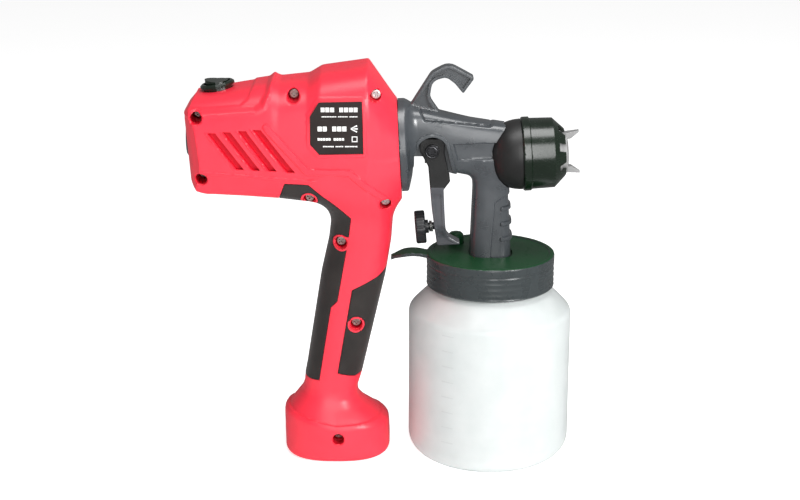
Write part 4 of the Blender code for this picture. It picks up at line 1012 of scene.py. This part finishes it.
ARCH = [(-48.0, 176.0), (-48.0, 199.3)] + [
    (PIVOT_X + 9.6 * cos(a), PIVOT_Z + 9.6 * sin(a)) for a in np.radians(np.arange(171, 26, -9))
] + [(-23.8, 184.0), (-24.0, 176.0)]
TOP_PANEL = rounded([
    (-46.6, 236.0, 0), (-45.6, 226.0, 2), (-41.8, 218.0, 3), (-36.0, 217.6, 2), (-2.0, 213.6, 2),
    (2.6, 217.0, 1), (3.0, 238.0, 0),
])
SIDE_PANEL = [(-24.6, 204.4), (-21.6, 193.2), (4.0, 194.6), (4.0, 205.0)]
FINGER_PANEL = [(18.0, 174.0), (6.0, 170.0), (1.4, 167.0), (-1.4, 126.0), (18.0, 126.0)]
TRIGGER = rounded([
    (-44.6, 199.3, 0), (-44.6, 206.9, 7.4), (-29.4, 206.9, 7.4), (-29.4, 198.0, 0), (-25.8, 180.2, 1.5),
    (-29.8, 174.8, 2), (-29.3, 163.5, 20), (-28.2, 144.0, 6), (-19.6, 139.2, 0.4), (-19.4, 138.0, 0.4),
    (-33.6, 137.2, 1.5), (-37.1, 162.6, 40), (-39.4, 189.6, 4),
])
DOME_POWER = 2.5
BELL = [
    (0.3, 0.0), (0.3, 28.0), (3.9, 28.0), (4.7, 27.2), (5.4, 24.8), (6.3, 21.5), (7.1, 18.5), (7.8, 14.0),
    (8.3, 9.4), (8.3, 0.0),
]
RIBS = (162.6, 153.0, 143.4)
LUGS = (20, 140, 260)


def gun_field(p):
    x, y, z = p.T
    side = np.abs(y)
    duct = section(DUCT, x, y, z)
    duct = most(duct, -(x + 55.5), x - 12.0)
    pillar = most(section(PILLAR, z, y, x), 130.4 - z, z - 192.0)
    panel = outline(x, z, FINGER_PANEL)
    ribs = np.zeros_like(x)
    for height in RIBS:
        ribs = most(ribs, ramp(-track(x, z, [(6.6, height), (20.0, height + 0.6)]), -1.7, -0.9))
    pillar = pillar + 1.0 * ramp(-panel, 0.0, 0.7) - 1.3 * ribs * (panel < 0)
    body = round_min(duct, pillar, 4.0)
    top = -outline(x, z, TOP_PANEL)
    body = body + 0.35 * ramp(top, -0.2, 0.6) + 0.7 * np.exp(-((top - 0.4) / 0.5) ** 2)
    box = -outline(x, z, SIDE_PANEL)
    body = body + 1.4 * ramp(box, 0.0, 0.9)
    arch = outline(x, z, ARCH)
    body = body - 1.2 * ramp(-arch, -2.2, -1.8) * ramp(z, 180.0, 186.0) * ramp(x, -47.2, -46.2)
    along, out, up = about(p, COLLAR_AT, TILT)
    body = round_min(body, outline(along, out, BELL), 6.0)
    body = round_max(body, 0.3 - along, 0.3)
    body = least(body, most(out - 22.3, -13.0 - along, along - 1.0))
    hook = outline(x, z, HOOK)
    rail = round_max(hook, side - 4.2, 0.5)
    rail = cut(rail, most(hook + 1.8, 2.3 - side))
    body = round_min(body, most(rail, 218.0 - z), 0.8)
    n_along, n_out, _ = about(p, NOZZLE_AT, TILT)
    ball = np.abs(least(n_along, 0.0) / 22.4) ** DOME_POWER + (n_out / 22.2) ** DOME_POWER
    ball = (ball ** (1 / DOME_POWER) - 1.0) * 22.3
    body = cut(body, most(ball, n_along - 9.0))
    body = least(body, most(n_out - 11.0, -28.0 - n_along, n_along + 3.0))
    body = least(body, rod(p, (0, 0, 121), (0, 0, 136), 9.0))
    for a in np.radians(LUGS):
        u, v = -up * cos(a) + y * sin(a), up * sin(a) + y * cos(a)
        lug = most(np.abs(u - 22.6) - 1.6, np.abs(v) - 3.2, np.abs(along + 9.6) - 1.4)
        body = least(body, lug)
    hollow = most(section(AIR, x, y, z), x - 6.0)
    for start, end, radius in (
        (on_nozzle(-33.0), on_nozzle(4.0), 6.8), (on_nozzle(-51.2), on_nozzle(-32.0), 4.7),
        (on_nozzle(-70.0), on_nozzle(-50.0), 1.6), ((0, 0, 115), (0, 0, 150.7), 5.4),
        ((0.5, 0, 147.5), (-6, 0, 191), 5.2), ((PIVOT_X, -30, PIVOT_Z), (PIVOT_X, 30, PIVOT_Z), PIVOT_BORE),
    ):
        hollow = least(hollow, rod(p, start, end, radius))
    hollow = least(hollow, block(p, (-49.0, -9.0, 186.0), (-33.2, 9.0, 195.2)))
    hollow = least(hollow, most(arch, 7.8 - side))
    return cut(body, hollow)


def trigger_field(p):
    x, y, z = p.T
    side = np.abs(y)
    blade = outline(x, z, TRIGGER)
    width = 11.0 - 1.6 * ramp(-z, -176.0, -168.0) - 4.6 * ramp(-z, -152.0, -142.0)
    body = round_max(blade, side - width, 0.7)
    dish = most(blade + 1.7, width - 0.7 - side)  # a shallow web inside a raised rim
    body = cut(body, most(dish, z - 172.0), block(p, (-60, -8.1, 183.6), (-10, 8.1, 220)))
    body = cut(body, rod(p, (PIVOT_X, -20, PIVOT_Z), (PIVOT_X, 20, PIVOT_Z), PIVOT_BORE))
    along, out, _ = about(p, KNOB_AT, KNOB_TILT)
    body = cut(body, most(out - 2.7, np.abs(along - 13.0) - 17.0))
    ring = most(np.abs(np.hypot(x - PIVOT_X, z - PIVOT_Z) - 5.0) - 0.6, side - 11.35)
    body = least(body, most(ring, 10.0 - side))
    height = on_nozzle((PIVOT_X - NOZZLE_AT[0]) / cos(TILT))[2]  # the needle's, at the pivot
    for inner, outer in ((-9.5, -1.5), (1.5, 9.5)):
        body = least(body, rod(p, (PIVOT_X, inner, height), (PIVOT_X, outer, height), 1.4))
    return body


def make_gun():
    gun = moulded("gun_shell", gun_field, (-71.5, -29.0, 119.5), (14.5, 29.0, 254), 0.62)
    place(gun, "gun", "black_casing", BLACK, "gun_body")
    trigger = moulded("trigger_lever", trigger_field, (-46.5, -12.0, 135.5), (-17.5, 12.0, 209), 0.55)
    place(trigger, "trigger", "black_casing", TRIGGER_GREY, "trigger")
    # The trigger is one plastic; the part above the finger's step is painted darker, in the dome's plastic,
    # as painted shade.
    repaint(trigger.data, DOME, per_face(trigger.data, "center")[:, 2] > 0.176)


def arc_points(centre, radius, start, end, steps):
    angles = np.radians(np.linspace(start, end, steps))
    return [(centre[0] + radius * sin(a), centre[1] + radius * cos(a)) for a in angles]


def make_nozzle():
    def bowl(length, radius, start, end, steps):
        turns, power = np.radians(np.linspace(start, end, steps)), 2 / DOME_POWER
        return [(-length * sin(a) ** power, radius * cos(a) ** power) for a in turns]

    outer = bowl(22.0, 21.8, 64, 3, 30)
    inner = bowl(19.8, 19.6, 22, 60, 14)
    skirt = [(-1.8, 19.3), (8.0, 19.3), (8.0, 17.4)]
    dome = turned("nozzle_dome_shell", [(-19.9, 11.3), *outer, *skirt, *inner, (-17.4, 11.3)], NOZZLE)
    place(dome, "gun", "black_casing", DOME, "nozzle_dome")

    def ring(p):
        along, out, up = about(p, NOZZLE_AT, TILT)
        body = outline(along, out, [
            (-1.5, 19.7), (-1.5, 22.3), (-0.8, 22.8), (3.0, 22.8), (3.6, 21.9), (17.5, 21.5), (24.6, 14.6),
            (24.6, 13.3), (22.5, 13.3), (22.5, 15.2), (15.0, 19.7),
        ])
        for k in range(8):
            a = pi * (k + 0.5) / 4
            reach = up * cos(a) + p[:, 1] * sin(a)
            across = up * sin(a) - p[:, 1] * cos(a)
            notch = most(20.6 - along, np.abs(across) - 2.5, 12.0 - reach)
            body = round_max(body, -notch, 0.2)
        return body

    cap_ring = moulded("cap_ring_shell", ring, (16, -24, 171), (47, 24, 221), 0.45, sharp=28)
    place(cap_ring, "cap_ring", "gloss_black", GLOSS, "cap_ring")

    def cap(p):
        along, out, up = about(p, NOZZLE_AT, TILT)
        body = outline(along, out, [
            (20.0, 3.1), (20.0, 14.6), (22.1, 14.6), (22.1, 12.9), (25.4, 12.9), (26.6, 8.0), (25.2, 3.1),
        ])
        horn = [(24.6, 8.4), (24.6, 12.2), (33.6, 13.4), (33.6, 12.4), (28.6, 8.8)]
        horn = outline(along, np.abs(up), horn)
        horn = round_max(horn, np.abs(p[:, 1]) - (3.6 - 0.22 * np.clip(along - 25, 0, 9)), 0.3)
        body = least(body, horn)
        return most(body, 0.7 - np.hypot(along - 31.2, p[:, 1]))

    air_cap = moulded("air_cap_shell", cap, (39, -16, 178), (55.5, 16, 214), 0.4, sharp=28)
    place(air_cap, "air_cap", "gloss_black", HORN, "air_cap")


def make_knob():
    def knob(p):
        along, out, up = about(p, KNOB_AT, KNOB_TILT)
        angle = np.arctan2(p[:, 1], up)
        rim = 10.5 - 0.95 * (0.5 - 0.5 * np.cos(8 * angle)) ** 1.5
        disc = round_max(out - rim, np.abs(along) - 3.2, 1.1)
        disc = cut(disc, most(out - 6.6, along + 2.6))
        hub = most(out - 4.2, -along, along - 5.2)
        stud = most(out - 2.3, -along, along - 15.6)
        return least(disc, round_max(hub, along - 5.2, 0.4), stud)

    obj = moulded("flow_knob_wheel", knob, (-48.5, -11.5, 136), (-26.5, 11.5, 160), 0.5, sharp=32)
    place(obj, "flow_knob", "black_casing", KNOB_BLACK, "flow_knob")


def make_coil(name, matrix, start, end, radius, turns, wire, body, node):
    """A compression spring of plain round wire."""
    count, sides = int(turns * 24), 10
    points = []
    for k in range(count + 1):
        a = 2 * pi * turns * k / count
        points.append(Vector((radius * cos(a), radius * sin(a), start + (end - start) * k / count)))
    bm = bmesh.new()
    rings = []
    for k, point in enumerate(points):
        ahead = (points[min(k + 1, count)] - points[max(k - 1, 0)]).normalized()
        out = Vector((point.x, point.y, 0)).normalized()
        up = ahead.cross(out)
        around = [out * cos(b) + up * sin(b) for b in np.linspace(0, 2 * pi, sides + 1)[:-1]]
        rings.append([bm.verts.new((point + wire * way) * MM) for way in around])
    for a, b in zip(rings, rings[1:]):
        for k in range(sides):
            bm.faces.new((a[k], a[(k + 1) % sides], b[(k + 1) % sides], b[k]))
    bm.faces.new(rings[0][::-1])
    bm.faces.new(rings[-1])
    bm.transform(matrix)
    bmesh.ops.recalc_face_normals(bm, faces=bm.faces)
    place(from_bmesh(name, bm, 180), body, "steel", STEEL, node)


# ---------------------------------------------------------------- bottle and lid

LID_TOP = 132.3
VENT_AT = (-21.0, 21.0)


def make_bottle():
    foot = arc_points((13.0, 38.0), 13.0, -90, 0, 14)
    inner_foot = arc_points((14.0, 37.0), 12.2, 0, -90, 10)
    profile = [
        (0.9, 0.0), (0.9, 30.0), (0.0, 34.0), (0.0, 38.0), *foot[1:], (54.0, 50.9), (93.0, 51.0),
        (94.4, 50.9), (95.7, 50.5), (96.9, 49.8), (98.0, 48.9), (109.4, 37.6), (110.3, 36.8), (111.4, 36.4),
        (112.2, 36.3), (125.0, 36.3), (125.4, 35.9), (125.4, 34.3), (125.0, 33.9), (112.0, 33.9),
        (110.6, 34.2), (108.6, 35.9), (97.2, 47.2), (95.4, 48.5), (93.6, 49.1), (92.0, 49.2), (14.0, 49.2),
        *inner_foot[1:], (2.7, 30.0), (2.7, 0.0),
    ]
    body = turned("bottle_body", profile, count=160, sharp=50)
    place(body, "bottle", "milky_bottle", BOTTLE, "bottle")


def lid_field(p):
    x, y, z = p.T
    out = np.hypot(x, y)
    rings = 0.22 * (0.5 + 0.5 * np.cos(2 * pi * (z - 115.0) / 3.6)) ** 2
    rings = rings * ramp(z, 113.0, 114.0) * ramp(-z, -126.5, -125.5)
    edge = out - 39.7 - rings - 0.3 * ramp(z, 126.5, 127.5) - 0.2 * ramp(-z, -112.9, -112.5)
    disc = round_max(edge, most(z - LID_TOP, 111.4 - z), 1.3)
    disc = cut(disc, most(out - 37.5, z - 127.5))
    top = most(out - 36.8, LID_TOP - 0.5 - z)  # lies a little below its rim
    disc = round_max(disc, -top, 0.4)
    t = np.clip((x + 37.8) / (-62.2 + 37.8), 0, 1)
    rise = 131.2 + 2.6 * np.sin(pi * t) - 1.6 * t
    arm = most(z - rise, rise - 2.2 - z)
    arm = round_max(arm, np.abs(y) - 6.5 + 3.6 * ramp(-x, 53.0, 62.0), 0.6)
    arm = most(arm, -62.2 - x, x + 34.0)
    body = round_min(disc, arm, 0.8)
    body = most(body, 9.3 - out)
    body = cut(body, most(section(PILLAR, z, y, x) - 0.3, 130.0 - z))
    vent = np.hypot(x - VENT_AT[0], y - VENT_AT[1])
    return cut(body, least(vent - 2.8, most(vent - 5.3, 130.0 - z)))


def make_lid():
    lid = moulded("cup_lid_shell", lid_field, (-64, -41.5, 110), (41.5, 41.5, 134), 0.75)
    place(lid, "gun", "grey_lid", LID, "cup_lid")
    upward, heights = per_face(lid.data, "normal")[:, 2], per_face(lid.data, "center")[:, 2]
    repaint(lid.data, LID_GREEN_REFLECTION, (upward > 0.75) & (heights > 0.1285))  # the top's upward faces get a dark green tint: a painted reflection
    profile = [
        (123.0, 0.0), (123.0, 2.4), (130.3, 2.4), (130.3, 4.6), (133.0, 4.9), (136.0, 5.0), (137.4, 4.6),
        (138.4, 3.7), (138.9, 2.2), (139.0, 0.0),
    ]
    # The vent plug gets the same dark green tint, a painted reflection.
    vent = turned("lid_vent_plug", profile, moved(*VENT_AT, 0.0), 48)
    place(vent, "gun", "rubber", LID_GREEN_REFLECTION, "lid_vent")


repaint_nodes()
for name in ("switch_body", "switch_rocker"):
    frame["nodes"][name].material_slots[0].material = GLOSS
make_power_unit()
make_screws()
make_gland()
make_label()
make_gun()
make_pivot()
make_nozzle()
make_knob()
make_coil("knob_spring_wire", KNOB, 5.6, 7.4, 3.2, 2, 0.4, "trigger", "knob_spring")
make_coil("needle_spring_wire", NOZZLE, -50.5, -44.6, 3.0, 4, 0.45, "gun", "needle_spring")
make_bottle()
make_lid()
